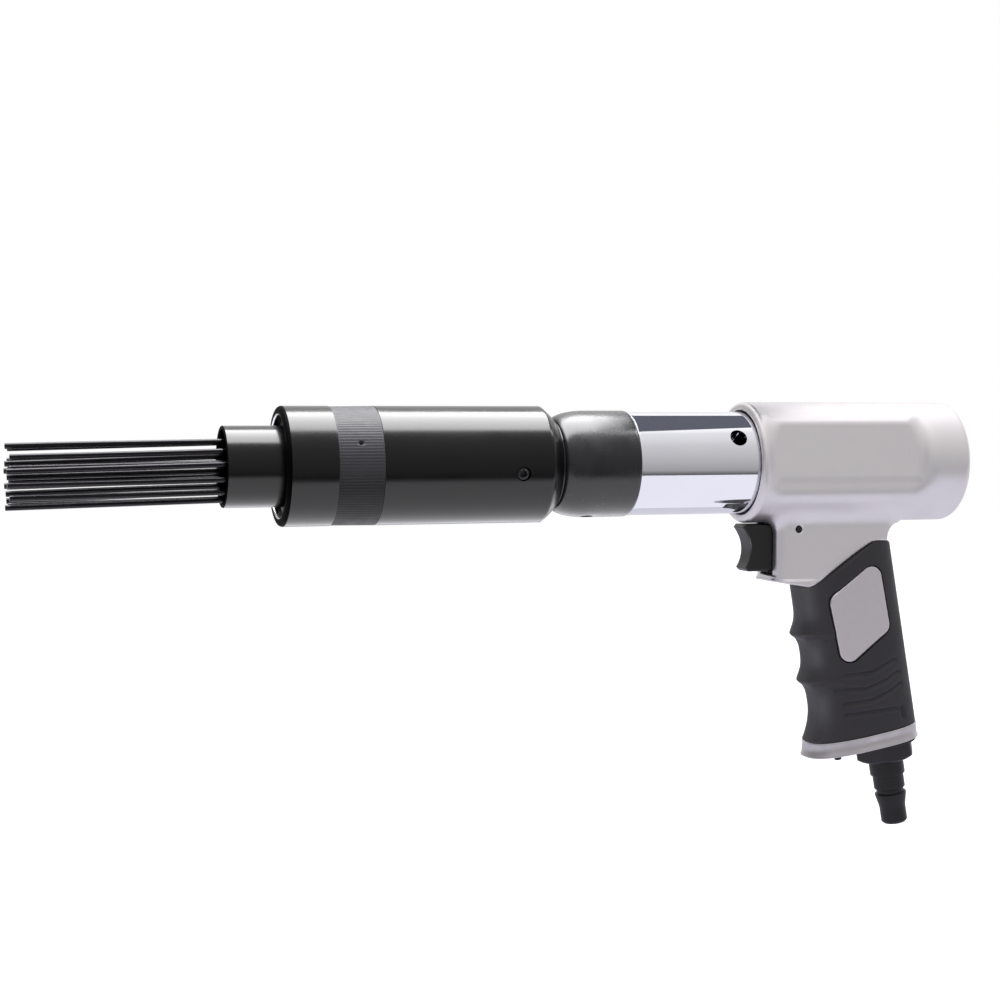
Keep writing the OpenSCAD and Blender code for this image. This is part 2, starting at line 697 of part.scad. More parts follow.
module inlet_bushing() {
    color("#232325") in_grip() translate([inlet_x, 0, 0]) difference() {
        union() {
            intersection() {
                translate([0, 0, HEX_FOOT]) cylinder(r = HEX_R, h = inlet_hex_h, $fn = 6);
                // Chamfer on the lower corners of the hexagon
                translate([0, 0, HEX_FOOT]) rotate_extrude() polygon([[0, 0], [inlet_hex / 2 - EDGE, 0],
                    [HEX_R + EDGE, HEX_R - inlet_hex / 2], [HEX_R + EDGE, inlet_hex_h], [0, inlet_hex_h]]);
            }
            rod(inlet_thread_d / 2, WASHER_FOOT, THREAD_TOP);
        }
        rod(plug_thread_d / 2 + fit, HEX_FOOT - EPS, THREAD_TOP + EPS);
    }
}

module inlet_screen() {
    r = plug_thread_d / 2;
    color("#b58a3c") in_grip() translate([inlet_x, 0, 0]) difference() {
        rod(r, PLUG_TOP + fit, THREAD_TOP - fit);
        rod(r - SCREEN_WALL, PLUG_TOP - EPS, THREAD_TOP - SCREEN_WALL);
        for (k = [0:5]) rotate([0, 0, 60 * k]) translate([r / 2, 0, 0])
            rod(r / 6, THREAD_TOP - 2 * SCREEN_WALL, THREAD_TOP + EPS);
    }
}

module hose_plug() {
    collar_foot = HEX_FOOT - plug_collar_len;
    stem_foot = collar_foot - plug_stem_len;
    neck_foot = stem_foot - plug_neck_len;
    cone_foot = neck_foot - plug_cone_len;
    nose_foot = cone_foot - plug_nose_len;
    tip = 1;
    color("#262628") in_grip() translate([inlet_x, 0, 0]) rotate_extrude() polygon([
        [plug_bore_d / 2, PLUG_TOP], [plug_thread_d / 2, PLUG_TOP], [plug_thread_d / 2, HEX_FOOT],
        [plug_collar_d / 2, HEX_FOOT], [plug_collar_d / 2, collar_foot], [plug_stem_d / 2, collar_foot],
        [plug_stem_d / 2, stem_foot], [plug_neck_d / 2, stem_foot - EDGE], [plug_neck_d / 2, neck_foot],
        [plug_cone_d / 2, neck_foot], [plug_nose_d / 2, cone_foot], [plug_nose_d / 2, nose_foot],
        [plug_nose_d / 2 - tip, nose_foot - tip], [plug_bore_d / 2, nose_foot - tip]]);
}

module throttle_bushing() {
    color("#b9a064") in_throttle() difference() {
        rod(throttle_d / 2, SLOT_REAR, THROTTLE_REAR);
        rod(rod_d / 2 + fit, SLOT_REAR - EPS, THROTTLE_REAR + EPS);
        rod(throttle_valve_d / 2 - seal_w / 2, PORT_X - port_d / 2, THROTTLE_REAR + EPS);
        // Cross hole to the passage above
        translate([0, 0, PORT_X]) rotate([0, -90, 0]) cylinder(d = port_d - 2 * EDGE, h = throttle_d);
    }
}

module throttle_valve() {
    color("#9a9ca0") in_throttle() {
        rod(throttle_valve_d / 2, VALVE_FRONT + seal_h, VALVE_BACK);
        rod(throttle_valve_d / 2 - seal_w, VALVE_NOSE, VALVE_FRONT + seal_h);
        rod(throttle_valve_d / 2 - seal_w - EDGE, VALVE_BACK, VALVE_BACK + throttle_disc);
    }
}

module throttle_seal() {
    color("#1b1b1d") in_throttle() difference() {
        rod(throttle_valve_d / 2, VALVE_FRONT, VALVE_FRONT + seal_h);
        rod(throttle_valve_d / 2 - seal_w, VALVE_FRONT - EPS, VALVE_FRONT + seal_h + EPS);
    }
}

module throttle_spring() {
    color("#8d8f94") in_throttle(VALVE_BACK + fit)
        coil((throttle_valve_d - throttle_wire) / 2 - EDGE, throttle_wire, throttle_spring_len - 2 * fit, 5);
}

module trigger_pin() {
    color("#a9abae") translate([PIN_X, 0, PIN_Z]) rotate([90, 0, 0])
        cylinder(d = trigger_pin_d, h = neck_w - EDGE, center = true);
}

// The trigger from the side: a hollow finger face and a square back
module trigger_outline() {
    half = trigger_h / 2;
    tip = trigger_hollow / 2;
    hollow_r = ((half - tip) * (half - tip) + trigger_hollow * trigger_hollow) / (2 * trigger_hollow);
    spread = asin((half - tip) / hollow_r);
    front = NECK_X - trigger_out;
    mid = TRIGGER_TOP - half;
    face = concat([[front - trigger_hollow + tip, TRIGGER_TOP]],
        arc(front - hollow_r, mid, hollow_r, spread, -spread, 10),
        [[front - trigger_hollow + tip, TRIGGER_FOOT]]);
    // The face leans forward towards its upper tip
    leaning = [for (p = face) [p[0] - trigger_ear * pow((p[1] - TRIGGER_FOOT) / trigger_h, 2), p[1]]];
    polygon(concat([[TRIGGER_REAR, TRIGGER_TOP]], leaning, [[TRIGGER_REAR, TRIGGER_FOOT]]));
}

module trigger() {
    slot_len = trigger_travel + PIN_SLOT;
    color("#2a292c") difference() {
        union() {
            intersection() {
                side_plate(trigger_w) trigger_outline();
                linear_extrude(height = 2 * AXIS_Z) rounded_box(
                    NECK_X - trigger_out - trigger_hollow - trigger_ear,
                    TRIGGER_REAR + trigger_w / 4, trigger_w, trigger_w / 4);
            }
            translate([TONGUE_FRONT, -tongue_w / 2, PIN_Z - TONGUE_H / 2])
                cube([TONGUE_REAR - TONGUE_FRONT, tongue_w, TONGUE_H]);
        }
        translate([PIN_SLOT_REAR - slot_len, -tongue_w, PIN_Z - PIN_SLOT / 2])
            cube([slot_len, 2 * tongue_w, PIN_SLOT]);
        in_throttle() rod(rod_d / 2 + fit, ROD_FRONT, TRIGGER_REAR + EPS);
    }
}

module trigger_rod() {
    color("#9a9ca0") in_throttle() {
        rod(rod_d / 2, ROD_FRONT + fit, PORT_X - port_d);
        rod(rod_d / 3, PORT_X - port_d, VALVE_NOSE - rest_gap);
    }
}

module barrel_washer() {
    color("#7d6a4a") ring(BARREL_R, SPIGOT_R + fit, BARREL_SEAT, seat_depth);
}

module barrel() {
    color("#d5d6d8") difference() {
        turned([[BORE_R, BARREL_FRONT], [SPIGOT_R, BARREL_FRONT], [SPIGOT_R, -barrel_show],
            [BARREL_R - EDGE, -barrel_show], [BARREL_R, EDGE - barrel_show], [BARREL_R, BARREL_SEAT],
            [SPIGOT_R, BARREL_SEAT], [SPIGOT_R, BARREL_REAR], [BORE_R, BARREL_REAR]]);
        // Exhaust hole drilled through both walls
        on_axis(-exhaust_ahead) rotate([0, 0, -exhaust_angle]) rotate([90, 0, 0])
            cylinder(d = exhaust_d, h = 2 * barrel_d, center = true);
    }
}

// The place of the dowel that keeps the valve block and the cap from turning
module at_dowel() {
    on_axis() translate([0, DOWEL_R, 0]) children();
}

module valve_block() {
    hole_circle = block_hole_d + block_hole_place * (DISC_R - block_hole_d);
    color("#8d8f94") difference() {
        ring(VALVE_R, block_hole_d, BARREL_REAR + fit, CAP_FRONT);
        on_axis() for (k = [0:5]) rotate([0, 0, 60 * k]) translate([hole_circle, 0, 0])
            rod(block_hole_d / 2, BARREL_REAR - EPS, CAP_FRONT + EPS);
        at_dowel() rod(dowel_d / 2 + fit, CAP_FRONT - dowel_in - EPS, CAP_FRONT + EPS);
    }
}

module valve_disc() {
    color("#a4a6aa") ring(DISC_R, block_hole_d / 2, CAP_FRONT + rest_gap, CAP_FRONT + rest_gap + disc_h);
}

module valve_cap() {
    room_end = CAP_FRONT + disc_h + disc_travel + 2 * rest_gap;
    r = VALVE_R;
    groove = [CAP_FRONT + dowel_in + 2 * EPS, GASKET_FRONT - cap_groove];
    color("#97999d") difference() {
        turned([[DISC_ROOM_R, CAP_FRONT], [r, CAP_FRONT], [r, groove[0]], [r - cap_groove, groove[0]],
            [r - cap_groove, groove[1]], [r, groove[1]], [r, GASKET_FRONT], [block_hole_d, GASKET_FRONT],
            [block_hole_d, room_end], [DISC_ROOM_R, room_end]]);
        at_dowel() rod(dowel_d / 2 + fit, CAP_FRONT - EPS, CAP_FRONT + dowel_in + EPS);
        // Cross holes from the outer groove to the middle
        on_axis((groove[0] + groove[1]) / 2) for (k = [0, 1]) rotate([0, 0, 45 + 90 * k]) rotate([90, 0, 0])
            cylinder(d = block_hole_d, h = 2 * VALVE_R, center = true);
    }
}

module valve_dowel() {
    color("#6f7176") at_dowel() rod(dowel_d / 2, CAP_FRONT - dowel_in, CAP_FRONT + dowel_in);
}

module valve_gasket() {
    color("#1b1b1d") ring(VALVE_R, VALVE_R - 2 * cap_groove, GASKET_FRONT, CHAMBER_END);
}

module piston() {
    r = BORE_R - fit;
    land = piston_len / 3;
    color("#7f8287") turned([[0, PISTON_FRONT], [r - 2 * EDGE, PISTON_FRONT], [r, PISTON_FRONT + 2 * EDGE],
        [r, PISTON_FRONT + land], [r - EDGE, PISTON_FRONT + land + EDGE],
        [r - EDGE, PISTON_REAR - land - EDGE], [r, PISTON_REAR - land], [r, PISTON_REAR - 2 * EDGE],
        [r - 2 * EDGE, PISTON_REAR], [0, PISTON_REAR]]);
}

module coupling() {
    spigot_r = REAR_BORE_R - fit;
    neck_r = REAR_BORE_R - neck_step;
    // The shoulder swells from the neck to the full diameter along a quarter of an ellipse
    foot_a = HOUSING_REAR + 2 * EDGE;
    shoulder = [for (i = [0:8]) let (t = 90 * i / 8) [neck_r + (COUPLING_R - neck_r) * sin(t),
        foot_a + shoulder_len * (1 - cos(t))]];
    color("#2f2f31") difference() {
        turned(concat([[bush_d / 2 + fit, COUPLING_FRONT], [spigot_r - 2 * EDGE, COUPLING_FRONT],
            [spigot_r, COUPLING_FRONT + 2 * EDGE], [spigot_r, HOUSING_REAR - 4 * EDGE],
            [neck_r, HOUSING_REAR - 4 * EDGE]], shoulder, [[COUPLING_R, -barrel_show - 2 * EDGE],
            [COUPLING_R - 2 * EDGE, -barrel_show], [SPIGOT_R + fit, -barrel_show],
            [SPIGOT_R + fit, BARREL_FRONT], [bush_d / 2 + fit, BARREL_FRONT]]));
        // Two spanner holes, one above and one below
        on_axis(foot_a + shoulder_len) for (k = [0, 180]) rotate([0, 0, k - SPANNER_ANGLE])
            translate([COUPLING_R - spanner_depth, 0, 0]) rotate([0, 90, 0])
                cylinder(d = spanner_d, h = spanner_depth + EPS);
    }
}

module anvil_bush() {
    color("#a88d4e") ring(bush_d / 2, shank_d / 2 + fit, COUPLING_FRONT, BARREL_FRONT);
}

module anvil_bumper() {
    color("#1e1e20")
        ring(GUIDE_R - bumper_h, shank_d / 2 + slide_gap, COUPLING_FRONT - bumper_h, COUPLING_FRONT);
}

module anvil() {
    neck_r = (GUIDE_R + shank_d / 2) / 2;
    shank_r = shank_d / 2;
    color("#77797e") turned([[0, ANVIL_FACE], [GUIDE_R - 2 * EDGE, ANVIL_FACE],
        [GUIDE_R, ANVIL_FACE + 2 * EDGE], [GUIDE_R, ANVIL_FACE + anvil_head / 2],
        [neck_r, ANVIL_REAR - anvil_head / 4], [neck_r, ANVIL_REAR], [shank_r, ANVIL_REAR],
        [shank_r, SHANK_END - 2 * EDGE], [shank_r - 2 * EDGE, SHANK_END], [0, SHANK_END]]);
}

module rear_housing() {
    thread_r = HOUSING_BORE_R + thread_wall;
    rim_r = REAR_BORE_R + EDGE;
    thread_end = COUPLING_FRONT + 2 * EDGE;
    // The rear edge falls to a thin rim, as a chamfer with its corners rounded
    rear_edge = [for (i = [0:6]) let (t = 90 * i / 6) [rim_r + (HOUSING_R - rim_r) * pow(cos(t), 1.6),
        HOUSING_REAR - rear_chamfer * (1 - pow(sin(t), 1.6))]];
    color("#131314") difference() {
        turned(concat([[HOUSING_BORE_R, SLEEVE_REAR - sleeve_thread], [thread_r, SLEEVE_REAR - sleeve_thread],
            [thread_r, SLEEVE_REAR], [HOUSING_R, SLEEVE_REAR]], rear_edge, [[REAR_BORE_R, HOUSING_REAR],
            [REAR_BORE_R, thread_end], [HOUSING_BORE_R, thread_end]]));
        on_axis(HOUSING_REAR - screw_ahead) rotate([90, 0, 0])
            rotate([0, screw_angle, 0]) cylinder(d = screw_d + 2 * fit, h = housing_d);
    }
}

module housing_screw() {
    socket = screw_d / 2;
    color("#3a3a3d") on_axis(HOUSING_REAR - screw_ahead) rotate([90, 0, 0]) rotate([0, screw_angle, 0])
        difference() {
            rod(screw_d / 2, REAR_BORE_R, HOUSING_R - EDGE);
            translate([0, 0, HOUSING_R - socket]) cylinder(d = socket / cos(30), h = socket, $fn = 6);
        }
}

// Saw-toothed outline of the knurled band, a fit below the surface ahead of it
module knurl_outline() {
    polygon([for (i = [0:2 * knurl_teeth - 1]) let (t = 180 * i / knurl_teeth,
        r = HOUSING_R - fit - (i % 2) * knurl_depth) [r * cos(t), r * sin(t)]]);
}

module front_sleeve() {
    thread_r = HOUSING_BORE_R + thread_wall + fit;
    color("#161617") difference() {
        union() {
            turned([[0, SLEEVE_FRONT], [HOUSING_R - EDGE, SLEEVE_FRONT], [HOUSING_R, SLEEVE_FRONT + EDGE],
                [HOUSING_R, SLEEVE_REAR - knurl_len], [0, SLEEVE_REAR - knurl_len]]);
            on_axis(SLEEVE_REAR - knurl_len) linear_extrude(height = knurl_len) knurl_outline();
        }
        on_axis() {
            rod(HOUSING_BORE_R, SLEEVE_FRONT - EPS, SLEEVE_REAR + EPS);
            rod(thread_r, SLEEVE_REAR - sleeve_thread, SLEEVE_REAR + EPS);
            rod(HOUSING_BORE_R + groove_depth, RING_FRONT, RING_FRONT + ring_h + 2 * fit);
        }
        // Pin hole in the knurled band
        on_axis(SLEEVE_REAR - knurl_len / 2) rotate([90, 0, 0]) rotate([0, -PIN_HOLE_ANGLE, 0])
            rod(pin_hole_d / 2, HOUSING_R - pin_hole_depth, HOUSING_R + EPS);
    }
}

module retaining_ring() {
    color("#c8c9cb") difference() {
        ring(HOUSING_BORE_R + groove_depth - fit, HOUSING_BORE_R - ring_in, RING_FRONT + fit,
            RING_FRONT + fit + ring_h);
        // The gap that lets the ring be squeezed together
        on_axis(RING_FRONT - EPS) translate([0, -RING_GAP / 2, 0])
            cube([housing_d, RING_GAP, ring_h + 4 * EPS]);
    }
}

module nose_tube() {
    color("#101011") turned([[NOSE_R - nose_wall, NOSE_FRONT], [NOSE_R - EDGE, NOSE_FRONT],
        [NOSE_R, NOSE_FRONT + EDGE], [NOSE_R, COLLAR_FRONT], [GUIDE_R, COLLAR_FRONT], [GUIDE_R, COLLAR_REAR],
        [NOSE_R - nose_wall, COLLAR_REAR]]);
}

module return_spring() {
    len = PLATE_FRONT - COLLAR_REAR - 2 * fit;
    color("#7d8086") on_axis(COLLAR_REAR + fit)
        coil(NOSE_R + spring_wire / 2, spring_wire, len, spring_turns);
}

// Places of the needles across the holder: one in the middle, six round it, twelve outside
NEEDLE_PLACES = concat([[0, 0]],
    [for (k = [0:5]) RING_R / 2 * [cos(30 + 60 * k), sin(30 + 60 * k)]],
    [for (k = [0:11]) RING_R * [cos(15 + 30 * k), sin(15 + 30 * k)]]);

module needle_holder() {
    color("#6b6d72") difference() {
        ring(GUIDE_R, 0, PLATE_FRONT, HOLDER_REAR);
        on_axis() rod(RING_R + HEAD_R + 2 * EDGE, PLATE_REAR, HOLDER_REAR + EPS);
        for (p = NEEDLE_PLACES) on_axis() translate([-p[1], p[0], 0])
            rod(needle_d / 2 + needle_slack, PLATE_FRONT - EPS, PLATE_REAR + EPS);
    }
}

// How far a needle stands back in its float, differing from needle to needle
function needle_back(i) = rest_gap + 0.3 * (needle_float - 2 * rest_gap) * (1 + sin(137.5 * i));

// One needle, which leans a little about the middle of the holder's plate
module needle(i) {
    p = NEEDLE_PLACES[i];
    droop = needle_droop + needle_lean * sin(97 * i);
    swing = needle_lean * cos(61 * i);
    pivot = (PLATE_FRONT + PLATE_REAR) / 2;
    head = holder_h / 2 + needle_back(i);
    tip = head + head_h - needle_len;
    r = needle_d / 2;
    color("#2c2b2d") on_axis(pivot) translate([-p[1], p[0], 0]) rotate([swing, -droop, 0]) rotate_extrude()
        polygon([[0, tip], [r - EDGE / 2, tip], [r, tip + EDGE / 2], [r, head], [HEAD_R, head],
            [HEAD_R, head + head_h], [0, head + head_h]]);
}

handle_casting();
grip_sleeve();
base_plate();
base_pin();
inlet_washer();
inlet_bushing();
inlet_screen();
hose_plug();
throttle_bushing();
throttle_spring();
trigger_pin();
trigger();
trigger_rod();
throttle_valve();
throttle_seal();
barrel_washer();
barrel();
valve_block();
valve_disc();
valve_cap();
valve_dowel();
valve_gasket();
piston();
coupling();
anvil_bush();
anvil_bumper();
anvil();
rear_housing();
housing_screw();
front_sleeve();
retaining_ring();
nose_tube();
return_spring();
needle_holder();
for (i = [0:18]) needle(i);
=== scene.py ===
"""Looks of a pneumatic needle scaler with a pistol grip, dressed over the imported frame.

Every shape is worked out in millimetres in the part's own frame (origin at the grip centre, needles
along -X, +Z up) and put into its mesh in metres.
"""

import logging
import math
from dataclasses import dataclass
from enum import Enum
from typing import Callable

import bpy
import numpy as np
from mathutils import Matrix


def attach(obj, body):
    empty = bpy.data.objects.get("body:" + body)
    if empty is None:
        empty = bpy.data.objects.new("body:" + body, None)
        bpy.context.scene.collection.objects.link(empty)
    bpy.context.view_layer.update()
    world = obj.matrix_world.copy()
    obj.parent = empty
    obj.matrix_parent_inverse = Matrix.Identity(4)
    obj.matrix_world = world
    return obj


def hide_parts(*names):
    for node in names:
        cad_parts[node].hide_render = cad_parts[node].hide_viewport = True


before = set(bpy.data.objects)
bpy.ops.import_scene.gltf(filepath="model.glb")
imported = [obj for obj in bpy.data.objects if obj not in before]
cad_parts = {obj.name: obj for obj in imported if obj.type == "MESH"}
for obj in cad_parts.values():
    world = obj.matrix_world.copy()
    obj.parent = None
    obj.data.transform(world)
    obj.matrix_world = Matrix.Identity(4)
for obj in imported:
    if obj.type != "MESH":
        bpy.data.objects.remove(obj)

LOG = logging.getLogger("needle_scaler")
MM = 0.001
Array = np.ndarray
Field = Callable[[Array, Array, Array], Array]
BODY = "tool_body"
STRIP_LIT = ("housing_tube", "sleeve_knurled", "nose_guide", "coupling_turned", "set_screw")
NEEDLE_COUNT = 19
# Clearance in millimetres between a thread or core and the piece round it.
FIT = 0.05
# Least length that is divided by.
TINY = 1e-9
# Angle in degrees above which an edge stays sharp.
CREASE = 35.0
# Heights in metres between which the painted shade and the scuffs set in, downwards.
PAINTED_SHADE_SPAN = (0.089, 0.081)
SCUFF_SPAN = (0.082, 0.07)


@dataclass(frozen=True)
class Shell:
    """A closed surface: points in millimetres, faces of three or four corners, and normals if known."""

    points: Array
    faces: tuple[Array, ...]
    normals: Array | None = None


@dataclass(frozen=True)
class Spindle:
    """A turning axis: a station runs along it, and an angle turns from the near side upwards.

    Attributes:
        origin: Place of station zero.
        along: Unit direction of growing stations.
        near: Unit direction of the angle zero.
        up: Unit direction of the angle ninety.
    """

    origin: tuple[float, float, float]
    along: tuple[float, float, float]
    near: tuple[float, float, float]
    up: tuple[float, float, float]

    def place(self, station: Array, radius: Array, angle: Array) -> Array:
        """Point at a station: the origin plus the station along the axis plus the radius at its angle.

        Args:
            station: Distances along the axis.
            radius: Distances from the axis.
            angle: Angles about the axis, in radians.

        Returns:
            Points with a last axis of three.
        """
        near, up = radius * np.cos(angle), radius * np.sin(angle)
        parts = ((station, self.along), (near, self.near), (up, self.up))
        spread = sum(np.asarray(size)[..., None] * np.array(way) for size, way in parts)
        return spread + np.array(self.origin)

    def ray(self, angle: float) -> tuple[Array, Array]:
        """Unit directions away from the axis at an angle, and across that in the turning sense.

        Args:
            angle: Angle about the axis, in degrees.

        Returns:
            The two directions.
        """
        theta = math.radians(angle)
        near, up = np.array(self.near), np.array(self.up)
        outwards = near * math.cos(theta) + up * math.sin(theta)
        aside = up * math.cos(theta) - near * math.sin(theta)
        return outwards, aside

    def turned(self, profile: Array, columns: int = 160) -> Shell:
        """Ring of a closed profile: each profile point is carried once round the axis.

        Args:
            profile: Closed loop of (station, radius) pairs.
            columns: Steps round the axis.

        Returns:
            The closed shell.
        """
        angle = full_turn(columns)
        rings = self.place(profile[:, :1], profile[:, 1:], angle[None, :])
        return outward(rings.reshape(-1, 3), (grid_faces(len(profile), columns, True),))


TILT = math.radians(9.6)
BARREL_AXIS = Spindle((-59.0, 0.0, 90.0), (1.0, 0.0, 0.0), (0.0, -1.0, 0.0), (0.0, 0.0, 1.0))
INLET_AXIS = Spindle(
    (9.0 * math.cos(TILT), 0.0, 9.0 * math.sin(TILT)),
    (-math.sin(TILT), 0.0, math.cos(TILT)),
    (0.0, -1.0, 0.0),
    (math.cos(TILT), 0.0, math.sin(TILT)),
)


def full_turn(columns: int) -> Array:
    """Angles of one full turn in equal steps, the last a step short of the first."""
    return np.linspace(0, 2 * np.pi, columns, endpoint=False)


def to_grip(x: Array, z: Array) -> tuple[Array, Array]:
    """Turns a place in the plane of the tool into depth and height of the sloping grip."""
    return x * math.cos(TILT) + z * math.sin(TILT), z * math.cos(TILT) - x * math.sin(TILT)


def from_grip(depth: Array, height: Array) -> tuple[Array, Array]:
    """Turns depth and height of the sloping grip into a place in the plane of the tool."""
    return depth * math.cos(TILT) - height * math.sin(TILT), depth * math.sin(TILT) + height * math.cos(TILT)


def grid_faces(rows: int, columns: int, closed: bool) -> Array:
    """Four-cornered faces between neighbouring rows of a grid whose columns run round.

    Args:
        rows: Number of rows.
        columns: Number of columns; the last joins the first.
        closed: Whether the last row joins the first.

    Returns:
        Corner numbers, four to a face.
    """
    row = np.arange(rows if closed else rows - 1)[:, None]
    column = np.arange(columns)[None, :]
    below, above = row * columns, (row + 1) % rows * columns
    after = (column + 1) % columns
    return np.stack([below + column, below + after, above + after, above + column], -1).reshape(-1, 4)


def outward(points: Array, faces: tuple[Array, ...]) -> Shell:
    """Shell whose faces point outwards: they are all turned round where the enclosed volume is negative.

    Args:
        points: Points in millimetres.
        faces: Face arrays of a closed surface, wound alike.

    Returns:
        The shell.
    """
    volume = 0.0
    for part in faces:
        for k in range(1, part.shape[1] - 1):
            a, b, c = (points[part[:, j]] for j in (0, k, k + 1))
            volume += float(np.einsum("ij,ij->", a, np.cross(b, c)))
    turned = faces if volume > 0 else tuple(part[:, ::-1] for part in faces)
    return Shell(points, turned)


def capped(rings: Array) -> Shell:
    """Stack of rings joined by faces, each end closed by a fan to the middle of its ring.

    Args:
        rings: Points as (rings, columns, 3).

    Returns:
        The closed shell.
    """
    rows, columns = rings.shape[:2]
    points = np.concatenate([rings.reshape(-1, 3), rings[0].mean(0)[None], rings[-1].mean(0)[None]])
    first = np.arange(columns)
    after = (first + 1) % columns
    last = (rows - 1) * columns
    foot = np.stack([np.full(columns, rows * columns), after, first], -1)
    head = np.stack([np.full(columns, rows * columns + 1), last + first, last + after], -1)
    return outward(points, (grid_faces(rows, columns, False), foot, head))


def rounded(corners: list[tuple[float, ...]], steps: int = 6, longest: float = 1.5) -> Array:
    """Closed profile with round corners: an arc tangent to both sides stands for each corner.

    Straight runs are cut into pieces of at most the longest length, so shading stays even along them.

    Args:
        corners: (station, radius) or (station, radius, rounding) of each corner in order.
        steps: Steps of each arc.
        longest: Longest straight piece.

    Returns:
        Points of the closed loop.
    """
    places = np.array([corner[:2] for corner in corners], float)
    pieces = []
    for i, corner in enumerate(corners):
        here = places[i]
        if len(corner) < 3:
            pieces.append(here[None])
            continue
        back, ahead = places[i - 1] - here, places[(i + 1) % len(places)] - here
        back_len, ahead_len = np.hypot(*back), np.hypot(*ahead)
        back, ahead = back / back_len, ahead / ahead_len
        half = math.acos(float(np.clip(back @ ahead, -1, 1))) / 2
        reach = min(corner[2] / math.tan(half), 0.49 * back_len, 0.49 * ahead_len)
        radius = reach * math.tan(half)
        middle = (back + ahead) / np.hypot(*(back + ahead))
        centre = here + middle * radius / math.sin(half)
        start, stop = here + back * reach - centre, here + ahead * reach - centre
        first = math.atan2(start[1], start[0])
        sweep = (math.atan2(stop[1], stop[0]) - first + math.pi) % (2 * math.pi) - math.pi
        turn = first + sweep * np.linspace(0, 1, steps + 1)
        pieces.append(centre + radius * np.stack([np.cos(turn), np.sin(turn)], -1))
    loop = np.concatenate(pieces)
    gap = np.roll(loop, -1, 0) - loop
    length = np.hypot(gap[:, 0], gap[:, 1])
    loop, gap, length = loop[length > 1e-6], gap[length > 1e-6], length[length > 1e-6]
    cuts = np.ceil(length / longest).astype(int)
    share = np.arange(cuts.sum()) - np.repeat(np.cumsum(cuts) - cuts, cuts)
    return np.repeat(loop, cuts, 0) + np.repeat(gap, cuts, 0) * (share / np.repeat(cuts, cuts))[:, None]


def ease(t: Array) -> Array:
    """Smooth step from 0 to 1 while t runs from 0 to 1."""
    c = np.clip(t, 0, 1)
    return c * c * (3 - 2 * c)


def bell(gap: Array, width: float) -> Array:
    """Bell of height 1 whose value falls to 1/e at the given width."""
    return np.exp(-((gap / width) ** 2))


def soft_max(a: Array, b: Array, blend: float | Array) -> Array:
    """Greater of two fields, with the crease between them rounded over the blend."""
    share = np.clip(0.5 + 0.5 * (a - b) / blend, 0, 1)
    return b + (a - b) * share + blend * share * (1 - share)


def soft_min(a: Array, b: Array, blend: float) -> Array:
    """Lesser of two fields, with the crease between them filled over the blend."""
    return -soft_max(-a, -b, blend)


def corner_gap(across: Array, upright: Array, radius: float) -> Array:
    """Signed distance to a corner between two straight sides, rounded to a radius."""
    a, b = across + radius, upright + radius
    return np.hypot(np.maximum(a, 0), np.maximum(b, 0)) + np.minimum(np.maximum(a, b), 0) - radius


def chain_gap(u: Array, v: Array, corners: Array, closed: bool) -> Array:
    """Distance to a chain of straight pieces; inside a closed chain it is negative.

    Every point is projected on every piece and the least distance is kept. A point is inside where a
    level line from it crosses the chain an odd number of times.

    Args:
        u: First coordinates.
        v: Second coordinates.
        corners: Corners of the chain as (n, 2).
        closed: Whether the last corner joins the first.

    Returns:
        The distances, in the shape that u and v spread to.
    """
    start = corners if closed else corners[:-1]
    stop = np.roll(corners, -1, 0) if closed else corners[1:]
    u, v = np.broadcast_arrays(u, v)
    du, dv = u[..., None] - start[:, 0], v[..., None] - start[:, 1]
    run, rise = (stop - start).T
    share = np.clip((du * run + dv * rise) / (run**2 + rise**2), 0, 1)
    least = np.hypot(du - share * run, dv - share * rise).min(-1)
    if not closed:
        return least
    spans = (start[:, 1] > v[..., None]) != (stop[:, 1] > v[..., None])
    level = np.where(rise == 0, 1.0, rise)
    crossing = spans & (du < run * dv / level)
    return np.where(crossing.sum(-1) % 2 == 1, -least, least)


def slope(field: Field, points: Array, step: float) -> Array:
    """Gradient of a field at points, from its values a step to either side along each axis.

    Args:
        field: Field of x, y and z.
        points: Points as (n, 3).
        step: Distance to either side.

    Returns:
        The gradients as (n, 3).
    """
    parts = []
    for shift in np.eye(3) * step:
        parts.append((field(*(points + shift).T) - field(*(points - shift).T)) / (2 * step))
    return np.stack(parts, -1)


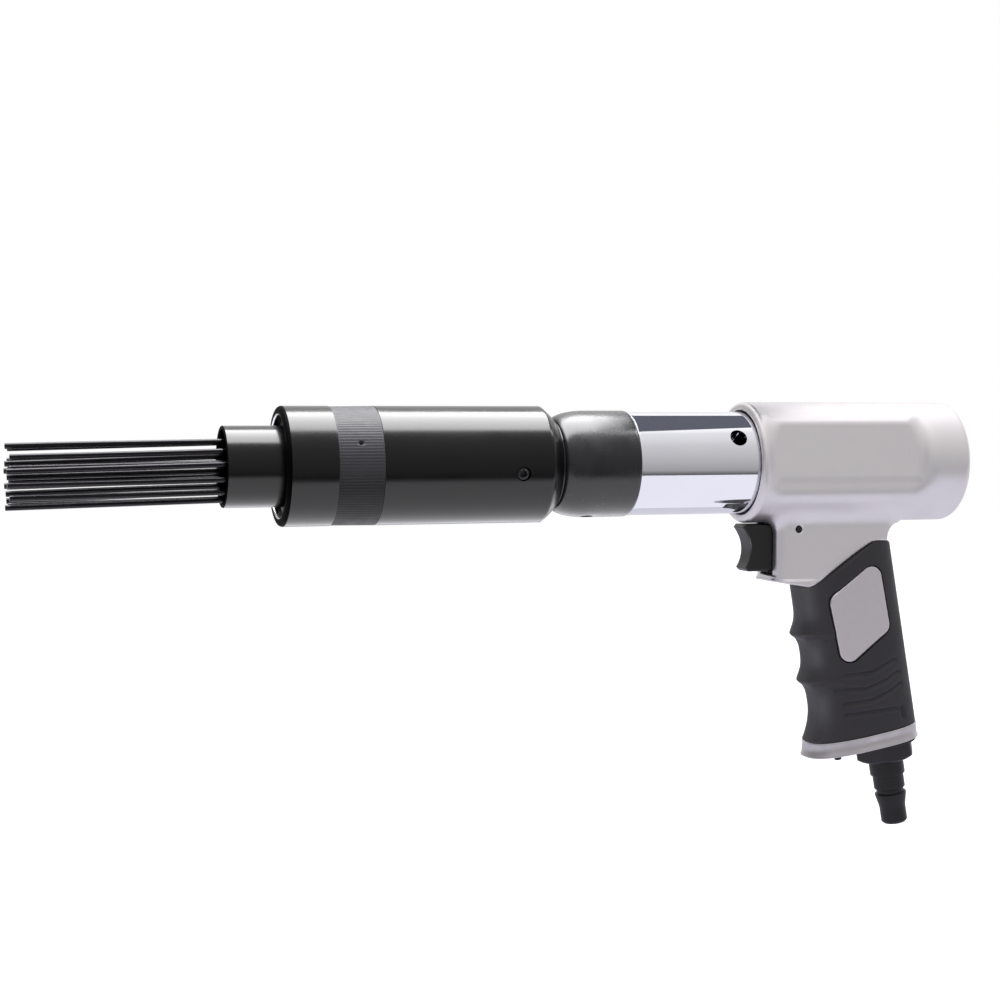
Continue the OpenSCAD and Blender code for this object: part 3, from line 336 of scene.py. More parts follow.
def level_surface(field: Field, axes: tuple[Array, Array, Array]) -> Shell:
    """Closed surface where a field is zero, negative inside.

    A point stands in each grid cell that the surface passes, first at the mean of the places where the
    cell's edges cross zero, then moved along the gradient onto the surface. Faces join the four cells
    round each grid edge that crosses it, and the normals are the gradients.

    Args:
        field: Signed field of x, y and z in millimetres.
        axes: Grid lines along x, y and z.

    Returns:
        The shell with its normals.
    """
    xs, ys, zs = axes
    size = tuple(len(line) for line in axes)
    value = field(xs[:, None, None], ys[None, :, None], zs[None, None, :])
    value = np.broadcast_to(value, size)
    inside = value < 0
    corners = np.array([(i, j, k) for i in (0, 1) for j in (0, 1) for k in (0, 1)])
    count = np.zeros(tuple(n - 1 for n in size), np.int8)
    for i, j, k in corners:
        count += inside[i : size[0] - 1 + i, j : size[1] - 1 + j, k : size[2] - 1 + k]
    mixed = (count > 0) & (count < 8)
    cells = np.argwhere(mixed)
    number = np.full(mixed.shape, -1)
    number[mixed] = np.arange(len(cells))
    total, hits = np.zeros((len(cells), 3)), np.zeros(len(cells))
    for first in corners:
        for second in corners:
            if (second - first).sum() != 1 or (second < first).any():
                continue
            low, high = cells + first, cells + second
            v0, v1 = value[tuple(low.T)], value[tuple(high.T)]
            crossed = (v0 < 0) != (v1 < 0)
            share = np.where(crossed, v0 / np.where(crossed, v0 - v1, 1), 0)
            p0 = np.stack([line[low[:, k]] for k, line in enumerate(axes)], -1)
            p1 = np.stack([line[high[:, k]] for k, line in enumerate(axes)], -1)
            total += np.where(crossed[:, None], p0 + share[:, None] * (p1 - p0), 0)
            hits += crossed
    points = total / hits[:, None]
    quads = []
    for axis in range(3):
        u, v = (axis + 1) % 3, (axis + 2) % 3
        low = np.moveaxis(inside, axis, 0)[:-1]
        high = np.moveaxis(inside, axis, 0)[1:]
        places = np.argwhere(np.moveaxis(low != high, 0, axis))
        leaves = np.moveaxis(low, 0, axis)[tuple(places.T)]
        step_u, step_v = np.eye(3, dtype=int)[u], np.eye(3, dtype=int)[v]
        shifts = (-step_u - step_v, -step_v, np.zeros(3, int), -step_u)
        ring = np.stack([number[tuple((places + shift).T)] for shift in shifts], -1)
        quads.append(np.where(leaves[:, None], ring, ring[:, ::-1]))
    reach = 0.5 * min(float(np.diff(line).min()) for line in axes)
    for _ in range(4):
        way = slope(field, points, 0.04)
        move = field(*points.T)[:, None] * way / np.maximum((way**2).sum(-1, keepdims=True), 0.05)
        length = np.maximum(np.linalg.norm(move, axis=1), TINY)
        points = points - move * np.minimum(1, reach / length)[:, None]
    way = slope(field, points, 0.12)
    normals = way / np.maximum(np.linalg.norm(way, axis=1, keepdims=True), TINY)
    return Shell(points, (np.concatenate(quads),), normals)


def grid_line(low: float, high: float, step: float, *finer: tuple[float, float, float]) -> Array:
    """Grid line from low to high in equal steps, with finer steps between the given limits.

    Args:
        low: First place.
        high: Last place.
        step: Usual step.
        finer: (from, to, step) of each finer stretch, in rising order.

    Returns:
        Rising places.
    """
    stretches, at = [], low
    for start, stop, small in finer:
        stretches += [(at, start, step), (start, stop, small)]
        at = stop
    stretches.append((at, high, step))
    lines = [np.linspace(a, b, max(2, round((b - a) / s) + 1))[:-1] for a, b, s in stretches]
    return np.concatenate([*lines, [high]])


def linear(code: str) -> tuple[float, float, float, float]:
    """Turns an sRGB hex colour into linear light by the sRGB curve.

    Args:
        code: Colour as a hash sign and six hex digits.

    Returns:
        Linear red, green and blue, and an alpha of 1.
    """
    parts = [int(code[k : k + 2], 16) / 255 for k in (1, 3, 5)]
    red, green, blue = (c / 12.92 if c <= 0.04045 else ((c + 0.055) / 1.055) ** 2.4 for c in parts)
    return red, green, blue, 1.0


def add_node(tree: bpy.types.NodeTree, kind: str, inputs: dict | None = None, **settings) -> bpy.types.Node:
    """Adds a node with its settings, its constants and its links.

    Args:
        tree: Node tree that takes the node.
        kind: Type name of the node.
        inputs: Constants or sockets by the name or number of the input.
        settings: Properties of the node.

    Returns:
        The node.
    """
    node = tree.nodes.new(kind)
    for name, value in settings.items():
        setattr(node, name, value)
    for key, value in (inputs or {}).items():
        if isinstance(value, bpy.types.NodeSocket):
            tree.links.new(value, node.inputs[key])
        else:
            node.inputs[key].default_value = value
    return node


class Mark(Enum):
    """What a finish carries over its plain surface."""

    NONE = "none"
    SCUFFS = "scuffs"
    # Painted shade: the colour darkens towards the bottom, standing in for a dark reflection.
    PAINTED_SHADE = "oiled"


@dataclass(frozen=True)
class Finish:
    """A surface finish: two colours in slow clouds, a fine grain in relief, and marks of use or painted
    shade.

    Attributes:
        title: Name of the real material and how its surface was made.
        colour: Main colour.
        cloud_colour: Colour that the clouds lean to.
        metallic: 1 for bare metal.
        roughness: Mean roughness.
        swing: How far the roughness sways either way.
        grain_mm: Size of the grain.
        relief_mm: Height of the grain.
        cloud_mm: Size of the clouds.
        ior: Index of refraction of a finish that isn't metal.
        coat: Weight of a clear coat.
        mark: Marks over the surface.
        mark_colour: Colour of the marks.
    """

    title: str
    colour: str
    cloud_colour: str
    metallic: float
    roughness: float
    swing: float
    grain_mm: float
    relief_mm: float
    cloud_mm: float = 14.0
    ior: float = 1.5
    coat: float = 0.0
    mark: Mark = Mark.NONE
    mark_colour: str = "#9a9a9c"

    def marks(self, tree: bpy.types.NodeTree, place: bpy.types.NodeSocket) -> bpy.types.NodeSocket:
        """Mask of the marks, 1 on a mark.

        Scuffs are short streaks on the underside where a stretched noise runs high. The painted shade
        darkens the colour more and more towards the bottom, standing in for a dark reflection there.

        Args:
            tree: Node tree of the material.
            place: Object coordinates in metres.

        Returns:
            Socket with the mask.
        """
        height = add_node(tree, "ShaderNodeSeparateXYZ", {0: place}).outputs["Z"]
        # Painted shade: the colour darkens with falling height, standing in for a dark reflection under the
        # knurl.
        if self.mark is Mark.PAINTED_SHADE:
            fit = {0: height, 1: PAINTED_SHADE_SPAN[0], 2: PAINTED_SHADE_SPAN[1], 4: 0.85}
            return add_node(tree, "ShaderNodeMapRange", fit).outputs[0]
        spread = add_node(tree, "ShaderNodeMapping", {"Vector": place, "Scale": (260, 90, 900)})
        streak = {"Vector": spread.outputs[0], "Scale": 1.0, "Detail": 4.0}
        noise = add_node(tree, "ShaderNodeTexNoise", streak)
        fit = {"Value": noise.outputs[0], "From Min": 0.66, "From Max": 0.76, "To Max": 0.85}
        streaks = add_node(tree, "ShaderNodeMapRange", fit).outputs[0]
        span = {0: height, 1: SCUFF_SPAN[0], 2: SCUFF_SPAN[1]}
        low = add_node(tree, "ShaderNodeMapRange", span).outputs[0]
        return add_node(tree, "ShaderNodeMath", {0: streaks, 1: low}, operation="MULTIPLY").outputs[0]

    def material(self) -> bpy.types.Material:
        """Material of the finish, made on its first use.

        Returns:
            The node material.
        """
        known = bpy.data.materials.get(self.title)
        if known:
            return known
        material = bpy.data.materials.new(self.title)
        material.use_nodes = True
        tree = material.node_tree
        shader = tree.nodes["Principled BSDF"]
        place = add_node(tree, "ShaderNodeTexCoord").outputs["Object"]
        cloud = add_node(
            tree, "ShaderNodeTexNoise", {"Vector": place, "Scale": 1 / (self.cloud_mm * MM), "Detail": 3.0}
        ).outputs[0]
        grain = add_node(
            tree, "ShaderNodeTexNoise", {"Vector": place, "Scale": 1 / (self.grain_mm * MM), "Detail": 2.0}
        ).outputs[0]
        shades = {"Factor": cloud, 6: linear(self.colour), 7: linear(self.cloud_colour)}
        colour = add_node(tree, "ShaderNodeMix", shades, data_type="RGBA").outputs[2]
        low, high = max(0.02, self.roughness - self.swing), self.roughness + self.swing
        gloss = add_node(
            tree,
            "ShaderNodeMapRange",
            {"Value": cloud, "From Min": 0.3, "From Max": 0.7, "To Min": low, "To Max": high},
        ).outputs[0]
        if self.mark is not Mark.NONE:
            mask = self.marks(tree, place)
            shades = {"Factor": mask, 6: colour, 7: linear(self.mark_colour)}
            colour = add_node(tree, "ShaderNodeMix", shades, data_type="RGBA").outputs[2]
        relief = add_node(
            tree, "ShaderNodeBump", {"Height": grain, "Distance": self.relief_mm * MM, "Strength": 1.0}
        )
        tree.links.new(colour, shader.inputs["Base Color"])
        tree.links.new(gloss, shader.inputs["Roughness"])
        tree.links.new(relief.outputs[0], shader.inputs["Normal"])
        shader.inputs["Metallic"].default_value = self.metallic
        if self.metallic < 0.5:
            shader.inputs["IOR"].default_value = self.ior
        shader.inputs["Coat Weight"].default_value = self.coat
        return material


# Aluminium die casting, bead blasted: a soft bright grey with a fine even grain and no clear reflections.
CAST_ALUMINIUM = Finish("cast_aluminium_blasted", "#f0ecee", "#e8e4e7", 1.0, 0.4, 0.04, 0.5, 0.012)
# Aluminium panel face, rubbed down: duller and more mottled than the casting round it.
PANEL_ALUMINIUM = Finish("cast_aluminium_rubbed", "#e2dce0", "#d2ccd1", 1.0, 0.46, 0.08, 0.7, 0.02, 5.0)
# Aluminium casting, tumbled: a little darker, shinier and more mottled than the blasted body.
BASE_CASTING = Finish("cast_aluminium_tumbled", "#cfcbce", "#bbb6bb", 1.0, 0.34, 0.08, 0.8, 0.03, 6.0)
# Moulded thermoplastic rubber: charcoal, dull, with a fine mould grain that breaks up the light.
GRIP_RUBBER = Finish("grip_rubber_moulded", "#2c292e", "#252227", 0.0, 0.55, 0.06, 0.45, 0.02, 20.0)
# Steel tube in gloss black enamel: near black with long clear reflections, soft at their edges.
BLACK_ENAMEL = Finish("steel_black_enamel", "#030304", "#060607", 0.0, 0.19, 0.03, 2.5, 0.001, 30.0, 1.36)
# Steel mouth in worn matt black: no clear reflections, so that the rim reads as a dark band.
MOUTH_BLACK = Finish("steel_black_matt", "#020202", "#040404", 0.0, 0.5, 0.06, 0.8, 0.006, 8.0, 1.05)
# Knurled steel, black oxide: a dull satin grey with fine even lines, with painted shade over the underside.
KNURLED_STEEL = Finish(
    "knurled_steel_black_oxide", "#2e2e31", "#28282b", 0.0, 0.5, 0.05, 0.6, 0.006, 5.0, 1.26,
    # The mark here is painted shade: a near-black colour that grows over the underside.
    mark=Mark.PAINTED_SHADE, mark_colour="#060607",
)
# Turned steel, black oxide: dark satin with short bright scuffs from handling.
BLACK_OXIDE = Finish(
    "turned_steel_black_oxide", "#19191b", "#232325", 0.4, 0.26, 0.06, 0.9, 0.006, 9.0,
    mark=Mark.SCUFFS, mark_colour="#58585b",
)
# Hard chrome over ground steel: a mirror with the faintest lines of grinding.
CHROME = Finish("hard_chrome_ground", "#e9e9ee", "#e2e2ea", 1.0, 0.05, 0.02, 3.0, 0.0006, 25.0)
# Spring steel wire, oiled: dark, with thin bright lights along each needle.
NEEDLE_STEEL = Finish("needle_wire_oiled", "#2a292b", "#1f1e20", 1.0, 0.18, 0.06, 0.9, 0.003, 5.0)
# Zinc plated steel, passivated black: dull black with slightly grey edges.
INLET_BLACK = Finish("steel_black_zinc", "#1d1c1e", "#272528", 0.4, 0.42, 0.07, 0.6, 0.012, 6.0)
# Zinc plated steel, worn on its flats: a little greyer than the plug below it.
HEX_BLACK = Finish("steel_black_zinc_worn", "#2b282c", "#353136", 0.4, 0.4, 0.07, 0.6, 0.012, 6.0)
# Moulded glass filled nylon: black, satin, a touch grey where light grazes it.
TRIGGER_PLASTIC = Finish("nylon_moulded_black", "#08080a", "#0d0d0f", 0.0, 0.38, 0.05, 0.5, 0.012, 10.0)
# Ground steel, bare: bright and clean.
BRIGHT_STEEL = Finish("steel_ground", "#b9bbc0", "#a9abb0", 1.0, 0.25, 0.06, 0.6, 0.004, 8.0)
# Spring wire, phosphated: grey and dull.
SPRING_STEEL = Finish("spring_wire_phosphated", "#77797e", "#65676c", 1.0, 0.36, 0.06, 0.5, 0.006, 6.0)
# Bearing bronze, turned: warm and satin.
BRONZE = Finish("bronze_turned", "#b08a52", "#9a7745", 1.0, 0.32, 0.07, 0.6, 0.006, 7.0)
# Nitrile rubber, moulded: black and dull.
SEAL_RUBBER = Finish("nitrile_moulded", "#1c1c1e", "#242426", 0.0, 0.6, 0.05, 0.4, 0.012, 8.0)


def make_piece(
    name: str,
    shell: Shell,
    nodes: tuple[str, ...],
    body: str,
    finish: Finish,
    crease: float = CREASE,
) -> bpy.types.Object:
    """Puts a shell into a mesh, dresses it, and lets it stand for its CAD nodes.

    Args:
        name: Name of the piece.
        shell: Its surface in millimetres.
        nodes: CAD nodes that it replaces.
        body: Body that it rides on.
        finish: Surface finish.
        crease: Angle in degrees above which an edge stays sharp, for a shell without normals.

    Returns:
        The object.
    """
    mesh = bpy.data.meshes.new(name)
    corners = np.concatenate([part.ravel() for part in shell.faces]).astype(np.int32)
    sizes = np.concatenate([np.full(len(part), part.shape[1]) for part in shell.faces])
    starts = np.concatenate([[0], np.cumsum(sizes)[:-1]]).astype(np.int32)
    mesh.vertices.add(len(shell.points))
    mesh.vertices.foreach_set("co", (shell.points * MM).astype(np.float32).ravel())
    mesh.loops.add(len(corners))
    mesh.loops.foreach_set("vertex_index", corners)
    mesh.polygons.add(len(sizes))
    mesh.polygons.foreach_set("loop_start", starts)
    mesh.update(calc_edges=True)
    mesh.validate()
    mesh.polygons.foreach_set("use_smooth", np.ones(len(mesh.polygons), bool))
    if shell.normals is None:
        mesh.set_sharp_from_angle(angle=math.radians(crease))
    else:
        mesh.normals_split_custom_set_from_vertices(shell.normals.astype(np.float32))
    piece = bpy.data.objects.new(name, mesh)
    bpy.context.scene.collection.objects.link(piece)
    mesh.materials.append(finish.material())
    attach(piece, body)
    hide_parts(*nodes)
    LOG.info("%s: %d points, %d faces", name, len(shell.points), len(sizes))
    return piece


def face_middles(piece: bpy.types.Object) -> tuple[Array, Array, Array]:
    """Middles of a piece's faces in millimetres.

    Args:
        piece: Piece to measure.

    Returns:
        Their three coordinates.
    """
    places = np.empty(len(piece.data.polygons) * 3)
    piece.data.polygons.foreach_get("center", places)
    x, y, z = places.reshape(-1, 3).T / MM
    return x, y, z


def add_finish(piece: bpy.types.Object, finish: Finish, chosen: Array) -> None:
    """Gives some faces of a piece a further finish.

    Args:
        piece: Piece to dress.
        finish: The further finish.
        chosen: True for each face that takes it.
    """
    slots = np.empty(len(piece.data.polygons), np.int32)
    piece.data.polygons.foreach_get("material_index", slots)
    slots[chosen] = len(piece.data.materials)
    piece.data.materials.append(finish.material())
    piece.data.polygons.foreach_set("material_index", slots)


def drill(piece: bpy.types.Object, cutter: Shell, crease: float = CREASE) -> None:
    """Takes the cutter's volume out of a piece and keeps the edges of the cut sharp.

    Args:
        piece: Piece to drill.
        cutter: Closed shell of the hole.
        crease: Angle in degrees above which an edge stays sharp.
    """
    tool_mesh = bpy.data.meshes.new("cutter")
    faces = [face for part in cutter.faces for face in part.tolist()]
    tool_mesh.from_pydata((cutter.points * MM).tolist(), [], faces)
    tool = bpy.data.objects.new("cutter", tool_mesh)
    bpy.context.scene.collection.objects.link(tool)
    cut = piece.modifiers.new("drill", "BOOLEAN")
    cut.object = tool
    cut.operation = "DIFFERENCE"
    cut.solver = "EXACT"
    scene_state = bpy.context.evaluated_depsgraph_get()
    drilled = bpy.data.meshes.new_from_object(piece.evaluated_get(scene_state))
    piece.modifiers.clear()
    old = piece.data
    name = old.name
    piece.data = drilled
    bpy.data.objects.remove(tool)
    bpy.data.meshes.remove(tool_mesh)
    bpy.data.meshes.remove(old)
    drilled.name = name
    drilled.polygons.foreach_set("use_smooth", np.ones(len(drilled.polygons), bool))
    drilled.set_sharp_from_angle(angle=math.radians(crease))


def radial_rod(
    spindle: Spindle, station: float, angle: float, radius: float, low: float, high: float
) -> Shell:
    """Round rod that points away from an axis: circles about the radial line, from low to high.

    Args:
        spindle: Axis that the rod points away from.
        station: Place along the axis.
        angle: Direction about the axis, in degrees.
        radius: Radius of the rod.
        low: Distance of its foot from the axis.
        high: Distance of its head from the axis.

    Returns:
        The closed shell.
    """
    turn = full_turn(48)
    outwards, aside = spindle.ray(angle)
    along = np.array(spindle.along)
    foot = np.array(spindle.origin) + station * along
    circle = radius * (np.cos(turn)[:, None] * along + np.sin(turn)[:, None] * aside)
    rings = np.stack([foot + height * outwards + circle for height in (low, high)])
    return capped(rings)


@dataclass
class GripShape:
    """Outer shape of the rubber grip, which the casting and the base plate follow as well."""

    front: float = 24.6
    back: float = 24.5
    width: float = 34.0
    drop: float = 36.7
    top_front: float = 36.0
    top_rear: float = 51.5
    top_rise: float = 36.0
    top_fall: float = 2.0
    top_fall_start: float = 14.0
    top_fall_len: float = 12.0
    ridge: float = 4.0
    ridge_above: float = 4.6
    ridge_below: float = 3.3
    ridge_top: float = 13.7
    finger_pitch: float = 22.5
    flare: float = 5.4
    flare_len: float = 16.0
    power: float = 2.7
    window: tuple[tuple[float, float], ...] = ((-9.9, 26.9), (7.2, 35.6), (7.7, 13.0), (-8.8, 4.0))
    window_round: float = 5.8
    core_depth: float = 40.0
    core_width: float = 25.0
    core_round: float = 8.0

    def rim(self, depth: Array) -> Array:
        """Height of the rubber's upper edge: a nearly straight rise, then a small fall at the rear.

        The rise is four parts straight line and one part smooth step, with its start kept off the foot.

        Args:
            depth: Places along the depth of the grip.

        Returns:
            The heights.
        """
        share = (depth + self.front) / self.top_rise
        climb = soft_max(0.8 * np.clip(share, 0, 1) + 0.2 * ease(share), 0.07, 0.08)
        rise = (self.top_rear - self.top_front) * climb
        return self.top_front + rise - self.top_fall * ease((depth - self.top_fall_start) / self.top_fall_len)

    def edge(self, height: Array) -> Array:
        """Reach of the front: two pointed finger ridges and a flare that grows with the square of the drop.

        Args:
            height: Places up the grip.

        Returns:
            The reach ahead of the grip axis.
        """
        foot = np.maximum((self.flare_len - self.drop - height) / self.flare_len, 0.0) ** 2
        reach = self.front + self.flare * foot
        for tip in (self.ridge_top, self.ridge_top - self.finger_pitch):
            gap = height - tip
            share = np.abs(gap) / np.where(gap > 0, self.ridge_above, self.ridge_below)
            reach = reach + self.ridge * np.exp(-(share**1.5))
        return reach

    def section(self, depth: Array, y: Array, height: Array, grow: float = 0.0, toe: float = 0.0) -> Array:
        """Signed distance, measured along the ray from the middle, to a rounded box.

        The box is the curve where the powers of depth over reach and of width over half width add to 1.

        Args:
            depth: Place along the depth of the grip.
            y: Place across the grip.
            height: Place up the grip.
            grow: Growth on all sides.
            toe: Further growth at the front.

        Returns:
            The distances.
        """
        reach = np.where(depth > 0, self.back + grow, self.edge(height) + grow + toe)
        across = np.abs(y) / (self.width / 2 + grow)
        size = ((np.abs(depth) / reach) ** self.power + across**self.power) ** (1 / self.power)
        return np.hypot(depth, y) * (1 - 1 / np.maximum(size, 1e-3))

    def window_gap(self, depth: Array, height: Array, radius: float) -> Array:
        """Signed distance in side view to the window: its four-cornered chain grown by a radius."""
        return chain_gap(depth, height, np.array(self.window), True) - radius

    def core_gap(self, depth: Array, y: Array, grow: float) -> Array:
        """Signed distance in plan to the metal core, a box with round upright edges.

        Args:
            depth: Places along the depth of the grip.
            y: Places across the grip.
            grow: Growth on all sides.

        Returns:
            The distances.
        """
        return corner_gap(
            np.abs(depth) - self.core_depth / 2 - grow,
            np.abs(y) - self.core_width / 2 - grow,
            self.core_round + grow,
        )


@dataclass
class HandleCasting:
    """The aluminium casting: round body with side flats, neck, grip core and side panels."""

    grip: GripShape
    face_x: float = -59.0
    axis_z: float = 90.0
    radius: float = 28.0
    length: float = 106.0
    lip_round: float = 2.6
    rear_round: float = 3.5
    flat_half: float = 21.0
    flat_lean: float = 5.5
    flat_start: float = 2.5
    flat_len: float = 82.5
    flat_ramp: float = 9.0
    flat_drop: float = 13.0
    flat_corner: float = 9.0
    mouth_r: float = 24.3
    mouth_depth: float = 5.0
    neck_half: float = 14.5
    neck_front: float = -45.0
    neck_back: float = 10.4
    neck_blend: float = 8.0
    neck_round: float = 9.0
    lip_reach: float = 1.2
    lip_h: float = 2.6
    slot_foot: float = 37.7
    slot_top: float = 61.8
    slot_rear: float = -36.5
    slot_half: float = 6.7
    pin_x: float = -35.2
    pin_z: float = 59.4
    pin_r: float = 1.55
    panel_half: float = 16.2
    panel_gap: float = 0.4
    bead_out: float = 0.8
    bead_top: float = 35.5
    bead_end: float = -24.0
    bead_run: float = 6.0
    flat_blend: float = 6.0
    flat_crisp: float = 0.8
    flat_soft: float = 5.0
    soft_from: float = 10.0
    soft_run: float = 8.0
    join_blend: float = 6.0
    edge_blend: float = 0.8
    mouth_blend: float = 0.4
    core_middle: float = 3.0
    core_half: float = 39.7
    pin_cone: float = 14.0
    pin_floor: float = 13.2
    panel_edge: float = 0.6

    def neck_chain(self) -> Array:
        """Side view of the neck: down the front, along the rubber's upper edge, up the rear with a fillet.

        Returns:
            Corners of the closed chain as (n, 2).
        """
        depth = np.linspace(-self.grip.front, self.grip.core_depth / 2 + 0.4, 30)
        shelf = np.stack(from_grip(depth, self.grip.rim(depth)), -1)
        front, lip = self.neck_front, self.neck_front - self.lip_reach
        start = [(front, self.axis_z), (front, self.slot_foot), (lip, self.slot_foot)]
        start.append((lip, self.slot_foot - self.lip_h))
        turn = np.linspace(np.pi, np.pi / 2, 9)
        blend = self.neck_blend
        middle, foot = self.neck_back + blend, self.axis_z - self.radius - blend
        fillet = np.stack([middle + blend * np.cos(turn), foot + blend * np.sin(turn)], -1)
        return np.concatenate([np.array(start), shelf, fillet, np.array([(middle, self.axis_z)])])

    def body_field(self, a: Array, side: Array, rise: Array) -> Array:
        """Round body: a cylinder with round ends, less the two side flats with their ramps.

        A flat leans outwards towards its foot. Its upper edge is crisp, and the others run out softly.

        Args:
            a: Places behind the front face.
            side: Distances from the middle plane.
            rise: Heights above the barrel axis.

        Returns:
            The field, negative inside.
        """
        off = np.hypot(side, rise)
        half = self.length / 2
        end = np.where(a < half, self.lip_round, self.rear_round)
        round_body = corner_gap(off - self.radius, np.abs(a - half) - half, end)
        middle = self.flat_start + self.flat_len / 2
        along = np.abs(a - middle) - self.flat_len / 2
        flat_top = math.sqrt(self.radius**2 - self.flat_half**2)
        floor = self.flat_half + math.tan(math.radians(self.flat_lean)) * (flat_top - rise)
        plan = corner_gap(along, floor - side, self.flat_ramp)
        upright = corner_gap(along, -self.flat_drop - rise, self.flat_corner)
        by_end = ease((along + self.soft_from) / self.soft_run)
        by_foot = 1 - ease((rise + self.soft_from) / self.soft_from)
        blend = self.flat_crisp + self.flat_soft * np.maximum(by_end, by_foot)
        return soft_max(round_body, -soft_max(plan, upright, self.flat_blend), blend)

    def field(self, x: Array, y: Array, z: Array) -> Array:
        """Signed field of the casting: body, neck, core and panels joined, then mouth, slot and pin cut.

        Args:
            x: Places along the tool.
            y: Places across it.
            z: Heights.

        Returns:
            The field, negative inside.
        """
        side = np.abs(y)
        a, rise = x - self.face_x, z - self.axis_z
        depth, height = to_grip(x, z)
        body = self.body_field(a, side, rise)
        lip = self.neck_front - self.lip_reach
        rear = self.neck_back + self.neck_blend
        middle, half = (lip + rear) / 2, (rear - lip) / 2
        bead = (1 - ease(z - self.bead_top)) * (1 - ease((depth - self.bead_end) / self.bead_run))
        plan = corner_gap(np.abs(x - middle) - half, side - self.neck_half, self.neck_round)
        plan = plan - self.bead_out * bead
        neck = soft_max(chain_gap(x, z, self.neck_chain(), True), plan, self.edge_blend)
        solid = soft_min(body, neck, self.join_blend)
        ends = np.abs(height - self.core_middle) - self.core_half
        core = np.maximum(self.grip.core_gap(depth, y, 0.0), ends)
        window = self.grip.window_gap(depth, height, self.grip.window_round - self.panel_gap)
        panel = soft_max(window, side - self.panel_half, self.edge_blend)
        solid = np.minimum(np.minimum(solid, core), panel)
        mouth = np.maximum(np.hypot(y, rise) - self.mouth_r, a - self.mouth_depth)
        slot = np.maximum(np.maximum(x - self.slot_rear, side - self.slot_half), self.slot_foot - z)
        slot = np.maximum(slot, z - self.slot_top)
        pin = np.hypot(x - self.pin_x, z - self.pin_z) - self.pin_r - np.maximum(side - self.pin_cone, 0)
        pin = np.maximum(pin, self.pin_floor - side)
        return np.maximum(soft_max(solid, -mouth, self.mouth_blend), np.maximum(-slot, -pin))

    def build(self) -> None:
        """Builds the casting on a grid that is finer round the mouth and the pin hole."""
        axes = (
            grid_line(-61.0, 48.5, 0.8, (-60.0, -53.0, 0.5), (-37.6, -32.8, 0.3)),
            grid_line(-29.0, 29.0, 0.78),
            grid_line(-38.0, 119.0, 0.8, (57.0, 61.8, 0.3)),
        )
        shell = level_surface(self.field, axes)
        piece = make_piece("casting", shell, ("handle_casting",), BODY, CAST_ALUMINIUM)
        x, y, z = face_middles(piece)
        depth, height = to_grip(x, z)
        gap = self.grip.window_gap(depth, height, self.grip.window_round)
        add_finish(piece, PANEL_ALUMINIUM, (gap < 0) & (np.abs(y) > self.panel_half - self.panel_edge))


@dataclass
class RubberGrip:
    """The rubber sleeve: finger ridges, a window for the metal panel, and grooves at the sides."""

    grip: GripShape
    foot: float = -37.4
    groove_depth: float = 1.2
    groove_width: float = 1.1
    grooves: tuple[tuple[tuple[float, float], ...], ...] = (
        ((-12.7, -7.4), (0.7, -8.5), (13.0, -4.9)),
        ((-17.5, -13.4), (-3.4, -15.6), (7.7, -13.5), (14.0, -10.9)),
        ((-14.8, -20.7), (-1.4, -21.4), (8.7, -19.1), (14.5, -16.8)),
        ((-14.8, -26.0), (-0.4, -26.9), (10.3, -27.9)),
        ((13.4, -27.8), (13.7, -32.5)),
    )
    crease_depth: float = 0.6
    crease_width: float = 1.3
    creases: tuple[tuple[tuple[float, float], ...], ...] = (
        ((-25.0, 12.0), (-21.0, 11.8), (-16.0, 11.0)),
        ((-25.0, -10.5), (-21.0, -10.7), (-16.0, -11.5)),
    )
    side_from: float = 9.0
    side_run: float = 4.0
    rim_blend: float = 1.2
    foot_blend: float = 0.5
    window_blend: float = 0.7
    window_floor: float = 11.0

    def field(self, x: Array, y: Array, z: Array) -> Array:
        """Signed field of the sleeve: its rounded box, cut by its upper edge, core, window and grooves.

        Args:
            x: Places along the tool.
            y: Places across it.
            z: Heights.

        Returns:
            The field, negative inside.
        """
        side = np.abs(y)
        depth, height = to_grip(x, z)
        form = self.grip.section(depth, y, height)
        at_side = ease((side - self.side_from) / self.side_run)
        for groove in self.grooves:
            gap = chain_gap(depth, height, np.array(groove), False)
            form = form + self.groove_depth * at_side * bell(gap, self.groove_width)
        for crease in self.creases:
            gap = chain_gap(depth, height, np.array(crease), False)
            form = form + self.crease_depth * bell(gap, self.crease_width)
        form = soft_max(form, height - self.grip.rim(depth), self.rim_blend)
        form = soft_max(form, self.foot - height, self.foot_blend)
        window = self.grip.window_gap(depth, height, self.grip.window_round)
        form = soft_max(form, -np.maximum(window, self.window_floor - side), self.window_blend)
        return np.maximum(form, -self.grip.core_gap(depth, y, FIT))

    def build(self) -> None:
        """Builds the sleeve on an even grid."""
        axes = (grid_line(-43.0, 35.0, 0.62), grid_line(-17.6, 17.6, 0.62), grid_line(-45.0, 59.0, 0.62))
        shell = level_surface(self.field, axes)
        make_piece("grip_rubber", shell, ("grip_sleeve",), BODY, GRIP_RUBBER)


